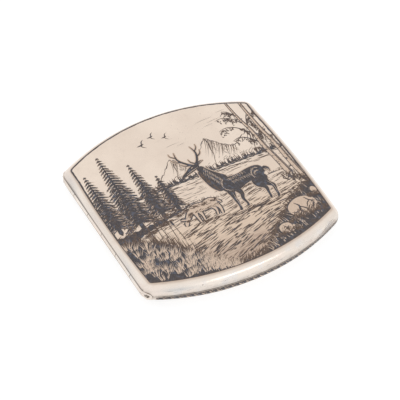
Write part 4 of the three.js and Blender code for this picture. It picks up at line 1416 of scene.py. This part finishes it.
# The bezel inside the base wall, over which the lid closes
bezel = {
    "thickness": 0.7, "rise": 1.1, "depth": 1.8, "gap": 0.2, "round": 0.16,
    "start": axisX + coveRadius + 2.0,
    "rows": 12, "bend": 0.4,  # rows up the outer face, and where the inner face is divided
    "crest": [(0.08, 0.3), (0.22, 0.0), (0.78, 0.0), (0.92, 0.3)],  # across the top, drop in rounds
}


def bezelSkin():
    # a section of outer face, rounded top and inner face, carried along the wall on three sides
    inset = case["wall"] + bezel["gap"]
    outer = np.roll(outline(caseShape, inset), -half, 0)
    inner = np.roll(outline(caseShape, inset + bezel["thickness"]), -half, 0)
    keep = outer[:, 0] > bezel["start"]
    outer, inner, panel = outer[keep], inner[keep], panelLine[keep]
    count = len(outer)

    def level(flat, z):
        return np.concatenate([flat, np.full((count, 1), z)], 1)

    rows = []
    for z in np.linspace(bezel["depth"], bezel["round"] - bezel["rise"], bezel["rows"]):
        face = baseFace if z > 0 else lidFace
        turn = turnAt(face, inset, outer, panel, lambda x: abs(z))
        rows.append(level(rimPoint(face, inset, outer, panel, turn)[:, :2], z))
    shoulder = rows[-1][:, :2]
    for share, drop in bezel["crest"]:
        rows.append(level(shoulder + (inner - shoulder) * share, drop * bezel["round"] - bezel["rise"]))
    rows += [level(inner, z) for z in (bezel["round"] - bezel["rise"], bezel["bend"], bezel["depth"])]
    faces = quads(len(rows) + 1, count, closed=False)[:, ::-1] % (len(rows) * count)
    first = np.arange(len(rows)) * count
    ends = [tuple(first), tuple((first + count - 1)[::-1])]
    return np.concatenate(rows), [tuple(q) for q in faces] + ends


makePiece("baseBezel", *turnedOver(*bezelSkin()), "base", gilded, "silver", ["base_bezel"])

for name in ("lid_joint_strip", "base_joint_strip"):
    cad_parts[name].data.materials.clear()
    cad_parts[name].data.materials.append(gilded)
print("bezel and joint strips finished")

# Floor, light and the camera of the photograph
studio = {
    "turn": -28.79, "rise": 46.78, "distance": 714.0, "pixelsPerMm": 2.6115, "aimHeight": 4.94,
    "middle": (200.085, 196.08), "pixels": 400, "sensor": 36, "farthest": 20,
    "floorReach": 3, "floorPatch": 40, "floorShades": [(0.27, 0.27, 0.27), (0.29, 0.29, 0.29)],
    "floorSeen": (0.79, 0.79, 0.79), "ambient": 0.85,
    # direction, distance, size, power, seen in the silver or not
    "lamps": {
        "overhead": ((0.15, 0.25, 1.0), 0.9, (0.8, 0.8), 1.6, False),
        "frontStrip": ((0.22, -0.92, 0.32), 0.8, (0.46, 0.07), 0.26, True),
    },
}


def addObject(name, data):
    made = bpy.data.objects.new(name, data)
    bpy.context.scene.collection.objects.link(made)
    return made


def makeCamera():
    # looks at the middle of the seam plane along the photograph's line of sight
    az, el = math.radians(studio["turn"]), math.radians(studio["rise"])
    right = Vector((math.cos(az), math.sin(az), 0))
    back = Vector((math.sin(az) * math.cos(el), -math.cos(az) * math.cos(el), math.sin(el)))
    up = back.cross(right)
    spot = Vector((0, 0, studio["aimHeight"])) + back * studio["distance"]
    pixels, (middleX, middleY) = studio["pixels"], studio["middle"]
    data = bpy.data.cameras.new("camera")
    data.sensor_width = studio["sensor"]
    data.lens = studio["sensor"] * studio["pixelsPerMm"] * studio["distance"] / pixels
    data.shift_x = 0.5 - middleX / pixels
    data.shift_y = middleY / pixels - 0.5
    data.clip_end = studio["farthest"]
    camera = addObject("camera", data)
    turned = Matrix((right, up, back)).transposed().to_4x4()
    camera.matrix_world = Matrix.Translation(spot * mm) @ turned
    bpy.context.scene.camera = camera


def seenDirectly(g):
    # 1 for camera, mirror and glass rays, 0 for the light that falls on the object
    camera, mirror, glass = (g.add("LightPath", out=i) for i in (0, 3, 6))
    return (camera + mirror + glass).upTo(1)


def makeFloor():
    # it glows evenly where it is seen, and its grey takes the light and the shadow
    g = Graph(bpy.data.materials.new("pale_floor"))
    glow = g.mix(seenDirectly(g), (0, 0, 0), studio["floorSeen"])
    colour = g.mix(g.noise(studio["floorPatch"], 2), *studio["floorShades"])
    sockets = {"Base Color": colour, "Roughness": 0.9, "Emission Color": glow, "Emission Strength": 1.0}
    material = g.finish(sockets)
    r = studio["floorReach"]
    mesh = bpy.data.meshes.new("floor")
    mesh.from_pydata([(-r, -r, 0), (r, -r, 0), (r, r, 0), (-r, r, 0)], [], [(0, 1, 2, 3)])
    mesh.materials.append(material)
    addObject("floor", mesh)


def makeWorld():
    world = bpy.data.worlds.new("studio")
    bpy.context.scene.world = world
    g = Graph(world)
    strength = g.add("MapRange", None, {"Value": seenDirectly(g), "To Min": studio["ambient"], "To Max": 1.0})
    light = g.add("Background", None, {"Color": (1, 1, 1, 1), "Strength": strength})
    g.add("OutputWorld", None, {"Surface": light})


def makeLamp(name, direction, distance, size, power, mirrored):
    # a soft rectangular lamp that faces the case
    data = bpy.data.lights.new(name, "AREA")
    data.shape = "RECTANGLE"
    data.size, data.size_y = size
    data.energy = power
    lamp = addObject(name, data)
    way = Vector(direction).normalized()
    lamp.rotation_mode = "QUATERNION"
    lamp.rotation_quaternion = way.to_track_quat("Z", "Y")
    lamp.location = way * distance
    lamp.visible_glossy = mirrored


makeCamera()
makeFloor()
makeWorld()
for name, settings in studio["lamps"].items():
    makeLamp(name, *settings)
bpy.context.scene.view_settings.view_transform = "Standard"
print("studio made")
